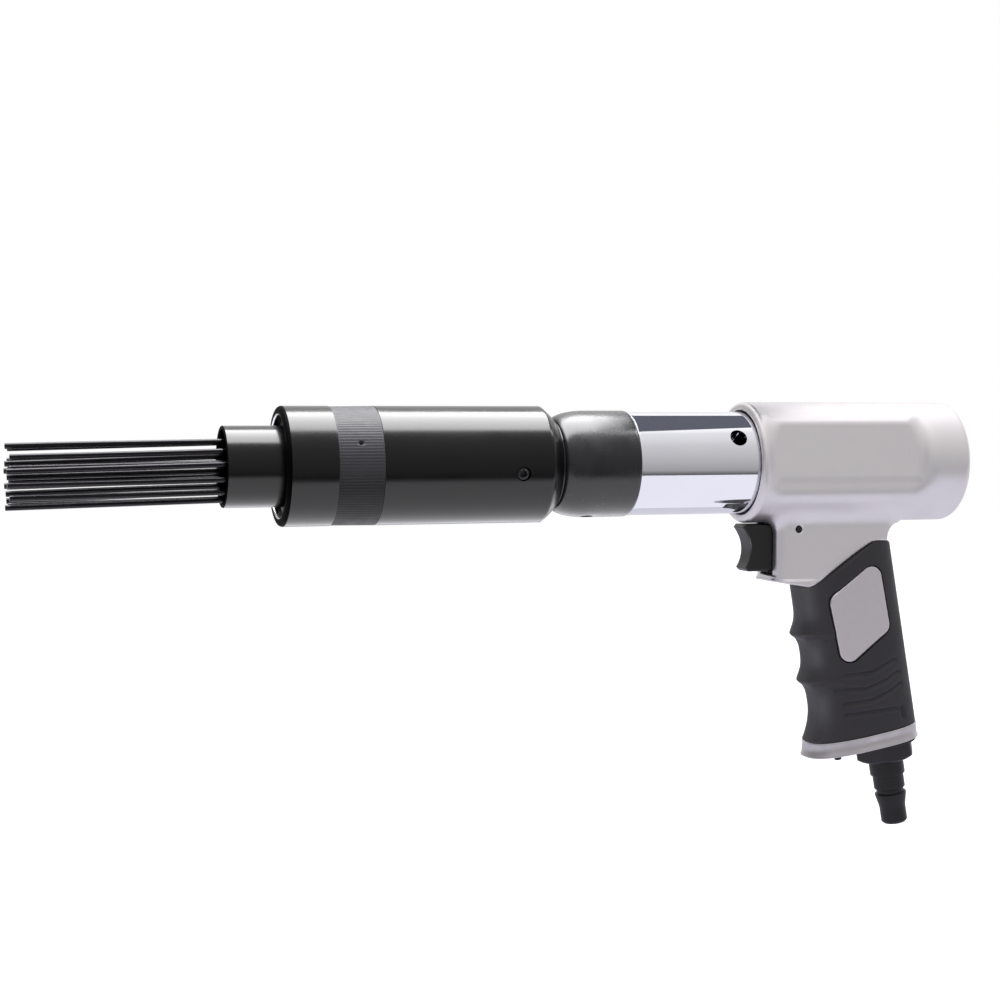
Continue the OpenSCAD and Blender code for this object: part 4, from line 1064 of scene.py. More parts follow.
@dataclass
class BaseAndInlet:
    """Base plate of the grip with its pin, and the inlet's washer, hexagon bushing and hose plug."""

    grip: GripShape
    plate_top: float = -37.45
    plate_h: float = 7.0
    plate_out: float = 0.3
    toe_top: float = 0.0
    toe_foot: float = 2.1
    plate_round: float = 0.5
    field_sink: float = 0.35
    pin_depth: float = -15.6
    pin_r: float = 1.7
    pin_out: float = 5.0
    washer_h: float = 1.5
    washer_r: float = 15.51
    hex_across: float = 26.0
    hex_h: float = 7.8
    thread_r: float = 8.0
    bore_r: float = 3.5
    collar_r: float = 8.2

    def plate(self) -> Shell:
        """Base plate: its outline carried down a profile with two rims and a sunk band.

        The outline reaches further out at the toe, the more so towards the foot.

        Returns:
            The closed shell.
        """
        turn = full_turn(240)
        c, s = np.cos(turn), np.sin(turn)
        share = 2 / self.grip.power
        edge = float(self.grip.edge(np.array(-self.grip.drop)))
        across = np.sign(s) * (self.grip.width / 2 + self.plate_out) * np.abs(s) ** share
        r, sink, tall = self.plate_round, self.field_sink, self.plate_h
        arc = np.linspace(0, np.pi / 2, 7)
        top = np.stack([r - r * np.sin(arc), r - r * np.cos(arc)], -1)
        band = np.array([(0.0, r + 0.3), (sink, r + 0.9), (sink, tall - r - 0.9), (0.0, tall - r - 0.3)])
        foot = np.stack([r - r * np.cos(arc), tall - r + r * np.sin(arc)], -1)
        upper, lower = [[9.0, 0.0], [r + 0.5, 0.0]], [[r + 0.5, tall], [9.0, tall]]
        profile = np.concatenate([upper, top, band, foot, lower])
        toe = self.toe_top + (self.toe_foot - self.toe_top) * profile[:, 1:] / tall
        reach = np.where(c > 0, self.grip.back + self.plate_out, edge + self.plate_out + toe)
        depth = np.sign(c) * reach * np.abs(c) ** share
        shrink = 1 - profile[:, :1] / np.hypot(depth, across)
        height = np.broadcast_to(self.plate_top - profile[:, 1:], shrink.shape)
        x, z = from_grip(depth * shrink, height)
        return capped(np.stack([x, across * shrink, z], -1))

    def hexagon(self) -> Shell:
        """Hexagon bushing: the lesser of a hexagon with softened corners and a cone at its lower edge.

        Returns:
            The closed shell.
        """
        turn = full_turn(240)
        top = self.plate_top - self.plate_h - self.washer_h
        drop = np.concatenate([[-17.0, 0.0, 0.0], np.linspace(0.3, self.hex_h, 14), [self.hex_h]])
        wrapped = (turn + np.pi / 6) % (np.pi / 3) - np.pi / 6
        flat = self.hex_across / 2 / np.cos(wrapped)
        flat = soft_min(flat, np.full_like(flat, self.hex_across / 2 + 1.5), 0.8)
        cone = self.hex_across / 2 - 0.7 + 1.6 * (self.hex_h - drop)[:, None]
        rings = soft_min(np.broadcast_to(flat, (len(drop), 240)), cone, 0.6)
        rings[:2] = self.thread_r
        rings[-1] = self.collar_r
        return capped(INLET_AXIS.place((top - drop)[:, None], rings, turn[None, :]))

    def plug_profile(self) -> list[tuple[float, ...]]:
        """Profile of the hose plug: collar, stem, latch groove, cone and sealing nose round a bore.

        Returns:
            (station, radius) or (station, radius, rounding) of each corner.
        """
        return [
            (-41.45, self.bore_r),
            (-41.45, 5.95),
            (-53.45, 5.95),
            (-53.45, self.collar_r, 0.3),
            (-61.65, self.collar_r, 0.6),
            (-61.65, 7.3),
            (-68.25, 7.3, 0.4),
            (-68.75, 6.4),
            (-70.75, 6.4),
            (-70.75, 7.55, 0.4),
            (-77.45, 6.15),
            (-84.45, 6.15, 0.5),
            (-85.45, 5.15, 0.3),
            (-85.45, self.bore_r, 0.4),
        ]

    def build(self) -> None:
        """Builds the plate, pin, washer, bushing and plug."""
        plate_foot = self.plate_top - self.plate_h
        make_piece("base_plate_casting", self.plate(), ("base_plate",), BODY, BASE_CASTING)
        x, z = from_grip(np.array(self.pin_depth), np.array(0.0))
        pin_axis = Spindle((float(x), 0.0, float(z)), INLET_AXIS.along, INLET_AXIS.near, INLET_AXIS.up)
        low, high = plate_foot - self.pin_out, self.plate_top + 11.5
        turn = full_turn(40)
        ends = ((low, self.pin_r - 0.5), (low + 0.15, self.pin_r - 0.15), (low + 0.5, self.pin_r))
        ends = np.array((*ends, (high, self.pin_r)))
        pin = capped(pin_axis.place(ends[:, :1], ends[:, 1:], turn[None, :]))
        make_piece("plate_pin", pin, ("base_pin",), BODY, INLET_BLACK)
        foot = plate_foot - self.washer_h
        ring = [(plate_foot, self.thread_r + FIT), (plate_foot, self.washer_r, 0.4)]
        ring += [(foot, self.washer_r, 0.4), (foot, self.thread_r + FIT)]
        make_piece(
            "washer", INLET_AXIS.turned(rounded(ring)), ("inlet_washer",), BODY, SEAL_RUBBER
        )
        make_piece("hex_bushing", self.hexagon(), ("inlet_bushing",), BODY, HEX_BLACK)
        plug = INLET_AXIS.turned(rounded(self.plug_profile()), 128)
        make_piece("air_plug", plug, ("hose_plug",), BODY, INLET_BLACK)


@dataclass
class TriggerSet:
    """The sliding trigger and the pin that keeps it in."""

    half_width: float = 6.4
    top: float = 61.5
    foot: float = 39.7
    rear: float = -44.0
    front: float = -55.0
    hollow: float = 3.0
    ear: float = 1.6
    pin_x: float = -35.2
    pin_z: float = 59.4
    pin_r: float = 1.5
    pin_half: float = 14.25
    edge_blend: float = 1.6
    tongue_x: float = -38.0
    tongue_len: float = 8.0
    tongue_half: float = 3.0
    slot_x: float = -38.2
    slot_len: float = 4.8
    slot_half: float = 1.8

    def chain(self) -> Array:
        """Side view of the trigger: a hollow finger face that leans out to its upper tip, and a square back.

        Returns:
            Corners of the closed chain as (n, 2).
        """
        half, middle = (self.top - self.foot) / 2, (self.top + self.foot) / 2
        reach = half - self.hollow / 2
        radius = (reach**2 + self.hollow**2) / (2 * self.hollow)
        spread = math.asin(reach / radius)
        turn = np.linspace(spread, -spread, 21)
        hollow = np.stack([self.front - radius + radius * np.cos(turn), middle + radius * np.sin(turn)], -1)
        tip = self.front - self.hollow / 2
        face = np.concatenate([np.array([(tip, self.top)]), hollow, np.array([(tip, self.foot)])])
        face[:, 0] -= self.ear * ((face[:, 1] - self.foot) / (self.top - self.foot)) ** 2
        return np.concatenate([np.array([(self.rear, self.foot), (self.rear, self.top)]), face])

    def field(self, x: Array, y: Array, z: Array) -> Array:
        """Signed field of the trigger: its side view between two sides with soft edges, and its tongue.

        Args:
            x: Places along the tool.
            y: Places across it.
            z: Heights.

        Returns:
            The field, negative inside.
        """
        side = np.abs(y)
        shape = soft_max(chain_gap(x, z, self.chain(), True), side - self.half_width, self.edge_blend)
        off = np.abs(z - self.pin_z)
        tongue = np.maximum(np.abs(x - self.tongue_x) - self.tongue_len, side - self.tongue_half)
        tongue = np.maximum(tongue, off - self.tongue_half)
        slot = np.maximum(np.abs(x - self.slot_x) - self.slot_len, off - self.slot_half)
        return np.maximum(np.minimum(shape, tongue), -slot)

    def build(self) -> None:
        """Builds the trigger and its pin."""
        axes = (grid_line(-62.0, -28.0, 0.42), grid_line(-7.0, 7.0, 0.42), grid_line(38.5, 63.5, 0.42))
        shell = level_surface(self.field, axes)
        make_piece("finger_trigger", shell, ("trigger",), "trigger", TRIGGER_PLASTIC)
        turn = full_turn(40)
        reach = np.array([-self.pin_half, 0.3 - self.pin_half, self.pin_half - 0.3, self.pin_half])
        size = np.array([self.pin_r - 0.3, self.pin_r, self.pin_r, self.pin_r - 0.3])
        axis = Spindle((self.pin_x, 0.0, self.pin_z), (0.0, 1.0, 0.0), (1.0, 0.0, 0.0), (0.0, 0.0, 1.0))
        pin = capped(axis.place(reach[:, None], size[:, None], turn[None, :]))
        make_piece("trigger_cross_pin", pin, ("trigger_pin",), BODY, INLET_BLACK)


@dataclass
class BarrelSet:
    """The chromed barrel with its exhaust hole and the coupling ahead of it."""

    radius: float = 23.5
    spigot_r: float = 20.0
    bore_r: float = 12.5
    front: float = -85.3
    show: float = -57.3
    seat: float = 3.8
    rear: float = 45.0
    hole_at: float = -9.4
    hole_angle: float = 30.0
    hole_r: float = 4.0
    coupling_r: float = 24.0
    coupling_front: float = -118.0
    housing_rear: float = -92.5
    neck_r: float = 19.4
    spigot_out: float = 19.95
    bush_r: float = 13.05
    shoulder_len: float = 15.0
    spanner_r: float = 2.8
    spanner_depth: float = 2.5
    spanner_tilt: float = 10.0
    shoulder_gap: float = 1.0
    spigot_step: float = 2.0
    drill_from: float = 10.0
    drill_to: float = 30.0

    def build(self) -> None:
        """Builds the barrel and the coupling and drills their holes."""
        loop = [(self.front, self.bore_r), (self.front, self.spigot_r), (self.show, self.spigot_r)]
        loop += [(self.show, self.radius, 0.5), (self.seat, self.radius, 0.4), (self.seat, self.spigot_r)]
        loop += [(self.rear, self.spigot_r), (self.rear, self.bore_r)]
        shell = BARREL_AXIS.turned(rounded(loop, 5, 1.0), 288)
        barrel = make_piece("barrel_chromed", shell, ("barrel",), BODY, CHROME)
        for angle in (self.hole_angle, self.hole_angle + 180):
            low, high = self.drill_from, self.drill_to
            drill(barrel, radial_rod(BARREL_AXIS, self.hole_at, angle, self.hole_r, low, high))
        foot = self.housing_rear + self.shoulder_gap
        turn = np.linspace(0, np.pi / 2, 17)
        swell = np.stack(
            [
                foot + self.shoulder_len * (1 - np.cos(turn)),
                self.neck_r + (self.coupling_r - self.neck_r) * np.sin(turn),
            ],
            -1,
        )
        loop = [(self.coupling_front, self.bush_r), (self.coupling_front, self.spigot_out, 0.8)]
        step = self.housing_rear - self.spigot_step
        loop += [(step, self.spigot_out), (step, self.neck_r)]
        loop += [tuple(point) for point in swell.tolist()]
        loop += [(self.show, self.coupling_r, 1.0), (self.show, self.spigot_r + FIT)]
        loop += [(self.front, self.spigot_r + FIT), (self.front, self.bush_r)]
        shell = BARREL_AXIS.turned(rounded(loop, 5, 1.0), 256)
        coupling = make_piece("coupling_turned", shell, ("coupling",), BODY, BLACK_OXIDE)
        low, high = self.coupling_r - self.spanner_depth, self.drill_to
        at = foot + self.shoulder_len
        for angle in (90 + self.spanner_tilt, 270 + self.spanner_tilt):
            drill(coupling, radial_rod(BARREL_AXIS, at, angle, self.spanner_r, low, high))


@dataclass
class FrontEnd:
    """Housing tube with its screw, knurled front sleeve with its ring, and the sliding nose tube."""

    radius: float = 26.0
    bore_r: float = 22.0
    rear: float = -92.5
    split: float = -173.9
    mouth: float = -215.5
    mouth_round: float = 1.8
    thread_r: float = 24.0
    thread_len: float = 12.0
    rear_len: float = 6.0
    rear_r: float = 20.5
    rear_bore_r: float = 20.0
    rear_bore_end: float = -117.0
    screw_at: float = -112.7
    screw_angle: float = -8.0
    screw_r: float = 3.0
    knurl_len: float = 19.8
    knurl_depth: float = 0.08
    teeth: int = 120
    pin_hole_at: float = -183.8
    pin_hole_angle: float = 23.0
    pin_hole_r: float = 0.9
    ring_at: float = -211.95
    ring_h: float = 2.0
    ring_out: float = 22.95
    ring_in: float = 19.2
    nose_r: float = 17.5
    nose_in: float = 16.0
    nose_front: float = -239.5
    collar_r: float = 21.7
    collar: tuple[float, float] = (-209.8, -199.8)
    fall_power: float = 1.85
    socket_r: float = 1.5
    socket_mouth_r: float = 1.95
    ring_power: float = 0.35
    ring_span: tuple[float, float] = (98.0, 442.0)

    def housing(self) -> None:
        """Rear housing: a tube whose rear edge falls to a thin rim, as a chamfer with its corners rounded."""
        turn = np.linspace(0, np.pi / 2, 17)
        fall = np.stack(
            [
                self.rear - self.rear_len * (1 - np.sin(turn) ** self.fall_power),
                self.rear_r + (self.radius - self.rear_r) * np.abs(np.cos(turn)) ** self.fall_power,
            ],
            -1,
        )
        front = self.split - self.thread_len
        loop = [(front, self.bore_r), (front, self.thread_r), (self.split, self.thread_r)]
        loop += [(self.split, self.radius, 0.25)] + [tuple(point) for point in fall.tolist()]
        loop += [(self.rear, self.rear_bore_r), (self.rear_bore_end, self.rear_bore_r)]
        loop += [(self.rear_bore_end, self.bore_r)]
        shell = BARREL_AXIS.turned(rounded(loop, 5, 1.2), 256)
        piece = make_piece("housing_tube", shell, ("rear_housing",), BODY, BLACK_ENAMEL)
        hole = radial_rod(BARREL_AXIS, self.screw_at, self.screw_angle, self.screw_r + 0.2, 15.0, 30.0)
        drill(piece, hole)

    def screw(self) -> None:
        """Set screw: a rod whose end falls to a six-sided socket with a cone at its mouth."""
        turn = full_turn(48)
        outwards, aside = BARREL_AXIS.ray(self.screw_angle)
        wrapped = (turn + np.pi / 6) % (np.pi / 3) - np.pi / 6
        socket = self.socket_r / np.cos(wrapped)
        round_r = np.ones_like(turn)
        head = self.radius - 0.6
        rows = [(self.rear_bore_r, self.screw_r * round_r), (head - 0.5, self.screw_r * round_r)]
        rows += [(head - 0.1, (self.screw_r - 0.4) * round_r), (head, (self.screw_r - 0.7) * round_r)]
        rows += [(head, self.socket_mouth_r * round_r), (head - 0.3, socket), (head - 2.2, socket)]
        foot = np.array(BARREL_AXIS.origin) + self.screw_at * np.array(BARREL_AXIS.along)
        rings = [
            foot
            + height * outwards
            + (size * np.cos(turn))[:, None] * np.array(BARREL_AXIS.along)
            + (size * np.sin(turn))[:, None] * aside
            for height, size in rows
        ]
        shell = capped(np.stack(rings))
        make_piece("set_screw", shell, ("housing_screw",), BODY, BLACK_OXIDE)

    def sleeve(self) -> None:
        """Front sleeve: a turned profile whose rear band is cut by a cosine wave round the axis."""
        columns = self.teeth * 6
        band, thread_end = self.split - self.knurl_len, self.split - self.thread_len
        loop = [(self.mouth, self.radius, self.mouth_round), (band, self.radius, 0.2)]
        loop += [(band, self.radius - 0.25)]
        loop += [(self.split, self.radius - 0.05, 0.3), (self.split, self.thread_r + FIT)]
        loop += [(thread_end, self.thread_r + FIT), (thread_end, self.bore_r)]
        loop += [(self.mouth, self.bore_r, 0.9)]
        profile = rounded(loop, 5, 0.8)
        angle = full_turn(columns)
        wave = 0.5 - 0.5 * np.cos(angle * self.teeth)
        on_band = (profile[:, 0] > band + 0.05) & (profile[:, 1] > self.thread_r + 1.0)
        lasting = ease((profile[:, 0] - band) / 0.8) * ease((self.split - profile[:, 0]) / 0.8 + 0.2)
        cut = np.where(on_band, lasting, 0)[:, None] * self.knurl_depth * wave[None, :]
        gap = np.hypot(
            profile[:, :1] - self.pin_hole_at,
            self.radius * (angle[None, :] - math.radians(self.pin_hole_angle)),
        )
        hole = np.where(on_band[:, None], 1.2 * (1 - ease((gap - self.pin_hole_r + 0.15) / 0.3)), 0)
        rings = BARREL_AXIS.place(profile[:, :1], profile[:, 1:] - np.maximum(cut, hole), angle[None, :])
        shell = outward(rings.reshape(-1, 3), (grid_faces(len(profile), columns, True),))
        nodes, crease = ("front_sleeve",), 60.0
        piece = make_piece("sleeve_knurled", shell, nodes, BODY, BLACK_ENAMEL, crease)
        x, y, z = face_middles(piece)
        station, off = x - BARREL_AXIS.origin[0], np.hypot(y, z - BARREL_AXIS.origin[2])
        add_finish(piece, KNURLED_STEEL, (station > band) & (off > self.thread_r + 0.6))
        near_mouth = station < self.mouth + self.mouth_round
        add_finish(piece, MOUTH_BLACK, near_mouth & (off > self.bore_r + 0.1))
        worn_edge = (off > self.bore_r + 0.1) & (off <= self.bore_r + 0.5)
        add_finish(piece, BRIGHT_STEEL, (station < self.mouth + 1.0) & worn_edge)

    def ring(self) -> None:
        """Retaining ring: a rounded rectangle carried round an arc that leaves a gap at the top."""
        turn = np.radians(np.linspace(*self.ring_span, 150))
        middle, half = (self.ring_out + self.ring_in) / 2, (self.ring_out - self.ring_in) / 2
        around = full_turn(24)
        c, s = np.cos(around), np.sin(around)
        out = half * np.sign(c) * np.abs(c) ** self.ring_power
        along = self.ring_h / 2 * np.sign(s) * np.abs(s) ** self.ring_power
        station = self.ring_at + self.ring_h / 2 + along
        rings = BARREL_AXIS.place(
            np.broadcast_to(station, (150, 24)), np.broadcast_to(middle + out, (150, 24)), turn[:, None]
        )
        make_piece("ring_retaining", capped(rings), ("retaining_ring",), BODY, INLET_BLACK)

    def nose(self) -> None:
        """Nose tube: a thin turned tube with a guide collar at its rear."""
        front, rear = self.collar
        loop = [(self.nose_front, self.nose_in, 0.5), (self.nose_front, self.nose_r, 0.5)]
        loop += [(front, self.nose_r), (front, self.collar_r, 0.4), (rear, self.collar_r, 0.4)]
        loop += [(rear, self.nose_in)]
        shell = BARREL_AXIS.turned(rounded(loop, 5, 1.2), 224)
        piece = make_piece("nose_guide", shell, ("nose_tube",), "nose", BLACK_ENAMEL)
        station = face_middles(piece)[0] - BARREL_AXIS.origin[0]
        add_finish(piece, MOUTH_BLACK, station < self.nose_front + 0.45)

    def build(self) -> None:
        """Builds all pieces of the front end."""
        self.housing()
        self.screw()
        self.sleeve()
        self.ring()
        self.nose()


@dataclass
class NeedlePack:
    """The nineteen needles: one in the middle, six round it, twelve outside."""

    radius: float = 1.25
    head_r: float = 2.2
    head_h: float = 2.5
    length: float = 181.0
    pivot: float = -156.3
    ring_r: float = 12.6
    holder_half: float = 6.0
    droop: float = 1.2
    lean: float = 0.2
    bow: float = 0.3
    settle: float = 0.41
    upper_settle: float = 0.28
    low_settle: float = -0.3
    middle_settle: float = 0.2
    shank_end: float = 14.0

    def needle(self, i: int) -> Shell:
        """One needle: circles along its leaning axis, bowed by a slow wave, with a head at the rear.

        On the far side the outer needles settle lower and the inner ones higher, so that they lie between
        the near ones, and the lowest outer one settles higher. The two needles under the top pair settle
        lower still, and so does the inner one at the top.

        Args:
            i: Number of the needle, from 0.

        Returns:
            The closed shell.
        """
        if i == 0:
            across, rise = 0.0, 0.0
        else:
            inner = i < 7
            k, size = (i - 1, self.ring_r / 2) if inner else (i - 7, self.ring_r)
            turn = math.radians(30 + 60 * k if inner else 15 + 30 * k)
            across, rise = size * math.cos(turn), size * math.sin(turn)
        settled = 0.0
        if across > 1 and abs(rise) < 10:
            settled = -self.settle if i < 7 else self.settle
        if across > 1 and rise < -10:
            settled = self.low_settle
        if i == 2:
            settled = self.middle_settle
        settled += self.upper_settle if 8 < rise < 10 else 0.0
        droop = math.radians(self.droop + settled + self.lean * math.sin(math.radians(97 * i)))
        swing = math.radians(self.lean * math.cos(math.radians(61 * i)))
        back = 0.2 + 0.9 * (1 + math.sin(math.radians(137.5 * i)))
        way = np.array(
            [math.cos(swing) * math.cos(droop), -math.sin(swing), math.cos(swing) * math.sin(droop)]
        )
        head = self.holder_half + back
        tip = head + self.head_h - self.length
        shank, top = head - self.shank_end, head + self.head_h
        run = np.linspace(tip + 0.3, shank, 44)
        along = np.concatenate([[tip, tip + 0.1], run, [head, head, head + self.head_h - 0.2, top]])
        size = np.full(len(along), self.radius)
        size[0], size[1] = self.radius - 0.3, self.radius - 0.08
        size[-3:] = self.head_r, self.head_r, self.head_r - 0.2
        reach = np.clip((shank - along) / (shank - tip), 0, 1)
        wave = self.bow * reach * np.sin(reach * 4.2 + 1.7 * i)
        aside = np.array([0.0, math.cos(2.1 * i), math.sin(2.1 * i)])
        start = np.array(BARREL_AXIS.origin) + np.array([self.pivot, across, rise])
        line = start + along[:, None] * way + wave[:, None] * aside
        turn = full_turn(20)
        level = np.array([0.0, 1.0, 0.0])
        upright = np.cross(way, level)
        circle = np.cos(turn)[:, None] * level + np.sin(turn)[:, None] * upright
        return capped(line[:, None, :] + size[:, None, None] * circle[None, :, :])

    def build(self) -> None:
        """Builds each needle on its own body."""
        for i in range(NEEDLE_COUNT):
            name = f"needle_{i + 1:02d}"
            make_piece(f"wire_{name}", self.needle(i), (name,), name, NEEDLE_STEEL)


@dataclass
class InnerParts:
    """The CAD nodes inside the tool, which keep their shapes and get finishes."""

    finishes: tuple[tuple[Finish, tuple[str, ...]], ...] = (
        (BRONZE, ("inlet_screen", "throttle_bushing", "anvil_bush")),
        (SPRING_STEEL, ("throttle_spring", "return_spring")),
        (
            BRIGHT_STEEL,
            ("trigger_rod", "throttle_valve", "valve_block", "valve_disc", "valve_cap", "valve_dowel")
            + ("piston", "anvil", "needle_holder"),
        ),
        (SEAL_RUBBER, ("throttle_seal", "barrel_washer", "valve_gasket", "anvil_bumper")),
    )

    def dress(self) -> None:
        """Gives every inner node its finish."""
        for finish, names in self.finishes:
            for name in names:
                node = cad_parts[name]
                node.data.materials.clear()
                node.data.materials.append(finish.material())
                LOG.info("%s: %s", name, finish.title)


@dataclass
class Studio:
    """Floor, lights, surroundings and camera."""

    floor_z: float = -0.3
    floor_front: float = -0.82
    floor_far: float = 6.0
    card_z: float = 0.24
    card_near: float = -0.043
    card_slant: float = 0.04
    card_far: float = 0.118
    table_glow: float = 0.6
    strip_above: float = 16.5
    strip_below: float = 1.5
    chrome_below: float = 0.27
    strip_left: float = 8.0
    tent_ahead: tuple[tuple[float, float], ...] = (
        ((-90, 0.1), (-22, 0.13), (-14, 0.42), (4, 0.54), (36, 0.72), (60, 0.95), (76, 1.65), (90, 1.85))
    )
    tent_behind: tuple[tuple[float, float], ...] = ((-90, 0.9), (25, 1.0), (60, 1.6), (90, 1.85))
    tent_left: float = 0.4
    tent_dark: float = 0.3
    tent_strength: float = 2.0
    camera_at: tuple[float, float, float] = (-0.412615, -0.776169, 0.108141)
    camera_turn: tuple[float, float, float] = (87.6077, 0.0874, -17.0415)
    lens: float = 65.755
    sensor: float = 36.0

    def sheet(
        self, name: str, corners: Array, shade: str, glow: float, glow_shade: str = "#ffffff"
    ) -> bpy.types.Object:
        """Flat four-cornered sheet of the studio, with a matt material that may glow.

        Args:
            name: Name of the sheet and its material.
            corners: Four corners in metres.
            shade: Colour of the sheet.
            glow: Strength of its glow.
            glow_shade: Colour of its glow.

        Returns:
            The object.
        """
        mesh = bpy.data.meshes.new(name)
        mesh.from_pydata(corners.tolist(), [], [(0, 1, 2, 3)])
        sheet = bpy.data.objects.new(name, mesh)
        bpy.context.scene.collection.objects.link(sheet)
        material = bpy.data.materials.new(f"{name}_matt")
        material.use_nodes = True
        shader = material.node_tree.nodes["Principled BSDF"]
        shader.inputs["Base Color"].default_value = linear(shade)
        shader.inputs["Roughness"].default_value = 0.9
        shader.inputs["Specular IOR Level"].default_value = 0.0
        shader.inputs["Emission Color"].default_value = linear(glow_shade)
        shader.inputs["Emission Strength"].default_value = glow
        mesh.materials.append(material)
        return sheet

    def floor(self) -> None:
        """Wide pale floor for the camera, and under it a duller table top that the tool reflects."""
        far, front, z = self.floor_far, self.floor_front, self.floor_z
        corners = np.array([(-far, -far, z), (far, -far, z), (far, far, z), (-far, far, z)])
        floor = self.sheet("floor", corners, "#d8d8da", 0.62)
        floor.visible_glossy = False
        floor.visible_diffuse = False
        corners = np.array([(-far, front, z - 0.001), (far, front, z - 0.001), (far, far, z), (-far, far, z)])
        corners = corners - np.array([0.0, 0.0, 0.002])
        table = self.sheet("table_top", corners, "#808082", self.table_glow, "#f2f1ff")
        table.visible_camera = False

    def dark_card(self) -> None:
        """Dark card above the barrel, seen by reflections alone: it gives the chrome its dark band."""
        z, near, far = self.card_z, self.card_near, self.card_far
        left, right = near - self.card_slant / 2, near + self.card_slant / 2
        corners = np.array([(-0.085, left, z), (0.004, right, z), (0.024, far, z), (-0.065, far, z)])
        card = self.sheet("dark_card", corners, "#000000", 1.0, "#686b74")
        card.visible_camera = False
        card.visible_diffuse = False
        card.visible_shadow = False
        card.visible_transmission = False

    def strip_lamp(
        self,
        name: str,
        middle: Array,
        size: tuple[float, float],
        turn: tuple[float, float],
        radiance: float,
        pieces: tuple[str, ...],
    ) -> None:
        """Flat lamp that shines on chosen pieces alone: its power is radiance times pi times area.

        Args:
            name: Name of the lamp.
            middle: Its place in metres.
            size: Its length and depth in metres.
            turn: Turns about the tool's length and across it in degrees; unturned it shines down.
            radiance: Brightness of its face.
            pieces: Names of the pieces that it lights.
        """
        light = bpy.data.lights.new(name, "AREA")
        light.shape = "RECTANGLE"
        light.size, light.size_y = size
        light.energy = radiance * math.pi * size[0] * size[1]
        lamp = bpy.data.objects.new(name, light)
        lamp.location = tuple(middle)
        lamp.rotation_euler = (math.radians(turn[0]), math.radians(turn[1]), 0.0)
        lamp.visible_camera = False
        bpy.context.scene.collection.objects.link(lamp)
        lit = bpy.data.collections.new(f"lit_by_{name}")
        for piece in pieces:
            lit.objects.link(bpy.data.objects[piece])
        lamp.light_linking.receiver_collection = lit

    def surroundings(self) -> None:
        """World as a pale tent: bright above and behind, dimmer ahead, dark to the left."""
        world = bpy.data.worlds.new("studio")
        bpy.context.scene.world = world
        world.use_nodes = True
        tree = world.node_tree
        way = add_node(tree, "ShaderNodeTexCoord").outputs["Generated"]
        axes = add_node(tree, "ShaderNodeSeparateXYZ", {0: way})
        rise = add_node(tree, "ShaderNodeMapRange", {0: axes.outputs["Z"], 1: -1.0, 2: 1.0}).outputs[0]
        ahead = add_node(tree, "ShaderNodeValToRGB", {0: rise})
        back = add_node(tree, "ShaderNodeValToRGB", {0: rise})
        for ramp, levels in ((ahead.color_ramp, self.tent_ahead), (back.color_ramp, self.tent_behind)):
            ramp.elements.remove(ramp.elements[1])
            for k, (degrees, radiance) in enumerate(levels):
                place = 0.5 + 0.5 * math.sin(math.radians(degrees))
                stop = ramp.elements.new(place) if k else ramp.elements[0]
                stop.position = place
                stop.color = (*(radiance / self.tent_strength,) * 3, 1.0)
        reach = {0: axes.outputs["Y"], 1: -0.15, 2: 0.3}
        behind = add_node(tree, "ShaderNodeMapRange", reach).outputs[0]
        shades = {"Factor": behind, 6: ahead.outputs[0], 7: back.outputs[0]}
        tent = add_node(tree, "ShaderNodeMix", shades, data_type="RGBA").outputs[2]
        white = 1.0 / self.tent_strength
        level = add_node(tree, "ShaderNodeMath", {0: axes.outputs["Z"]}, operation="ABSOLUTE").outputs[0]
        zones = (
            (self.tent_left, (-0.2, -0.45), axes.outputs["Y"], (0.1, 0.4)),
            (self.tent_dark, (-0.62, -0.85), level, (0.5, 0.25)),
        )
        for radiance, left, bound, reach in zones:
            span = {0: axes.outputs["X"], 1: left[0], 2: left[1]}
            far = add_node(tree, "ShaderNodeMapRange", span).outputs[0]
            near = add_node(tree, "ShaderNodeMapRange", {0: bound, 1: reach[0], 2: reach[1]}).outputs[0]
            zone = add_node(tree, "ShaderNodeMath", {0: far, 1: near}, operation="MULTIPLY").outputs[0]
            shades = {"Factor": zone, 6: tent, 7: (*(radiance / self.tent_strength,) * 3, 1.0)}
            tent = add_node(tree, "ShaderNodeMix", shades, data_type="RGBA").outputs[2]
        seen = add_node(tree, "ShaderNodeLightPath").outputs["Is Camera Ray"]
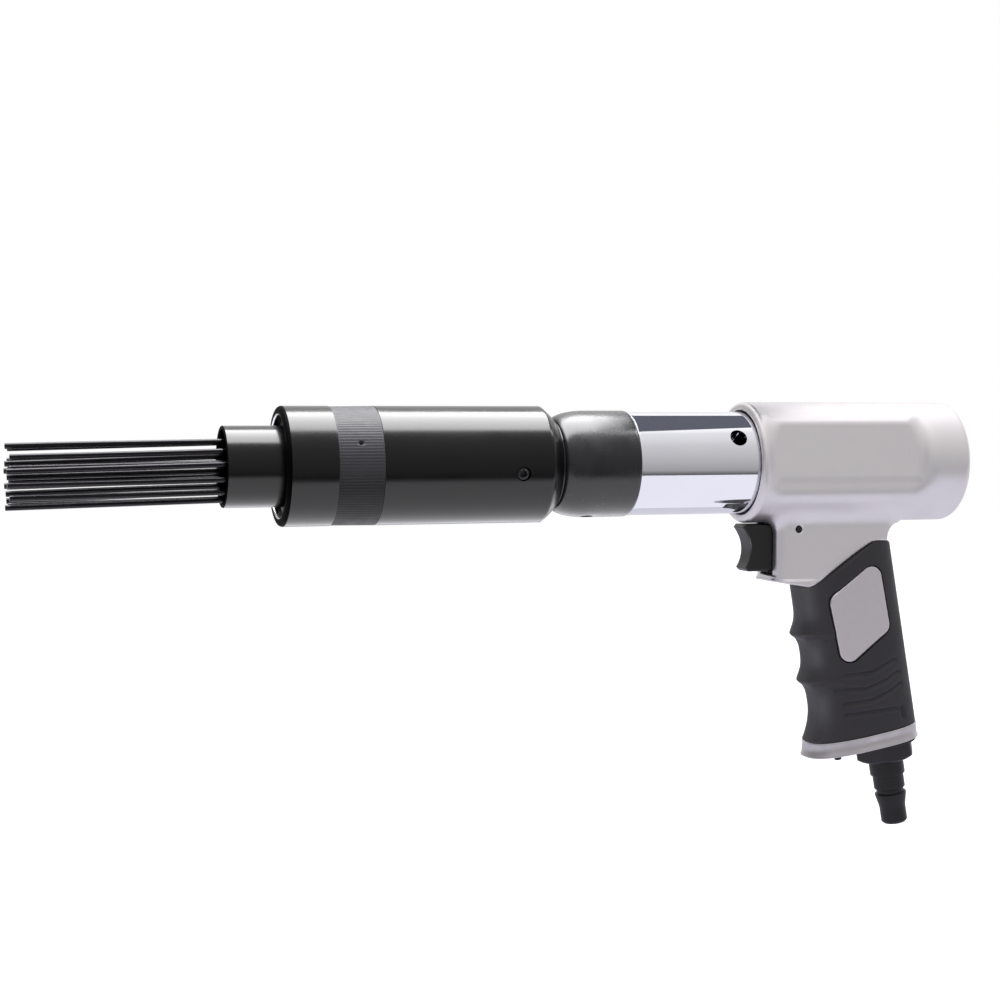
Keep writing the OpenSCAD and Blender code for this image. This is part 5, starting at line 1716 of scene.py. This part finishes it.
        shades = {"Factor": seen, 6: tent, 7: (white, white, white, 1.0)}
        final = add_node(tree, "ShaderNodeMix", shades, data_type="RGBA").outputs[2]
        tree.links.new(final, tree.nodes["Background"].inputs["Color"])
        tree.nodes["Background"].inputs["Strength"].default_value = self.tent_strength

    def camera(self) -> None:
        """Camera at the photograph's place and angle, with the lens fitted to it."""
        data = bpy.data.cameras.new("camera")
        data.sensor_width = self.sensor
        data.lens = self.lens
        data.clip_start, data.clip_end = 0.01, 50.0
        camera = bpy.data.objects.new("camera", data)
        camera.location = self.camera_at
        camera.rotation_euler = tuple(math.radians(angle) for angle in self.camera_turn)
        bpy.context.scene.collection.objects.link(camera)
        bpy.context.scene.camera = camera

    def build(self) -> None:
        """Sets the whole studio up."""
        self.camera()
        self.floor()
        self.dark_card()
        black = (*STRIP_LIT, *(f"wire_needle_{i + 1:02d}" for i in range(NEEDLE_COUNT)))
        chrome = ("barrel_chromed",)
        over, under = [-0.1, 0.15, 0.95], [-0.1, 0.1, -0.28]
        ahead, left = [0.1, -0.3, -0.285], [-0.62, 0.1, -0.5]
        self.strip_lamp("strip_above", np.array(over), (1.8, 0.9), (0.0, 0.0), self.strip_above, black)
        self.strip_lamp("strip_below", np.array(under), (2.4, 1.5), (180.0, 0.0), self.strip_below, black)
        self.strip_lamp("chrome_below", np.array(ahead), (1.6, 0.95), (180.0, 0.0), self.chrome_below, chrome)
        grip = ("grip_rubber", "finger_trigger")
        self.strip_lamp("strip_left", np.array(left), (0.8, 0.9), (0.0, -135.0), self.strip_left, grip)
        self.surroundings()
        bpy.context.scene.view_settings.view_transform = "Standard"


def main() -> None:
    """Builds every sub-assembly in order."""
    logging.basicConfig(level=logging.INFO, format="%(name)s %(message)s")
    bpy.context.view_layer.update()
    grip = GripShape()
    HandleCasting(grip).build()
    RubberGrip(grip).build()
    BaseAndInlet(grip).build()
    TriggerSet().build()
    BarrelSet().build()
    FrontEnd().build()
    NeedlePack().build()
    InnerParts().dress()
    Studio().build()


if __name__ == "__main__":
    main()
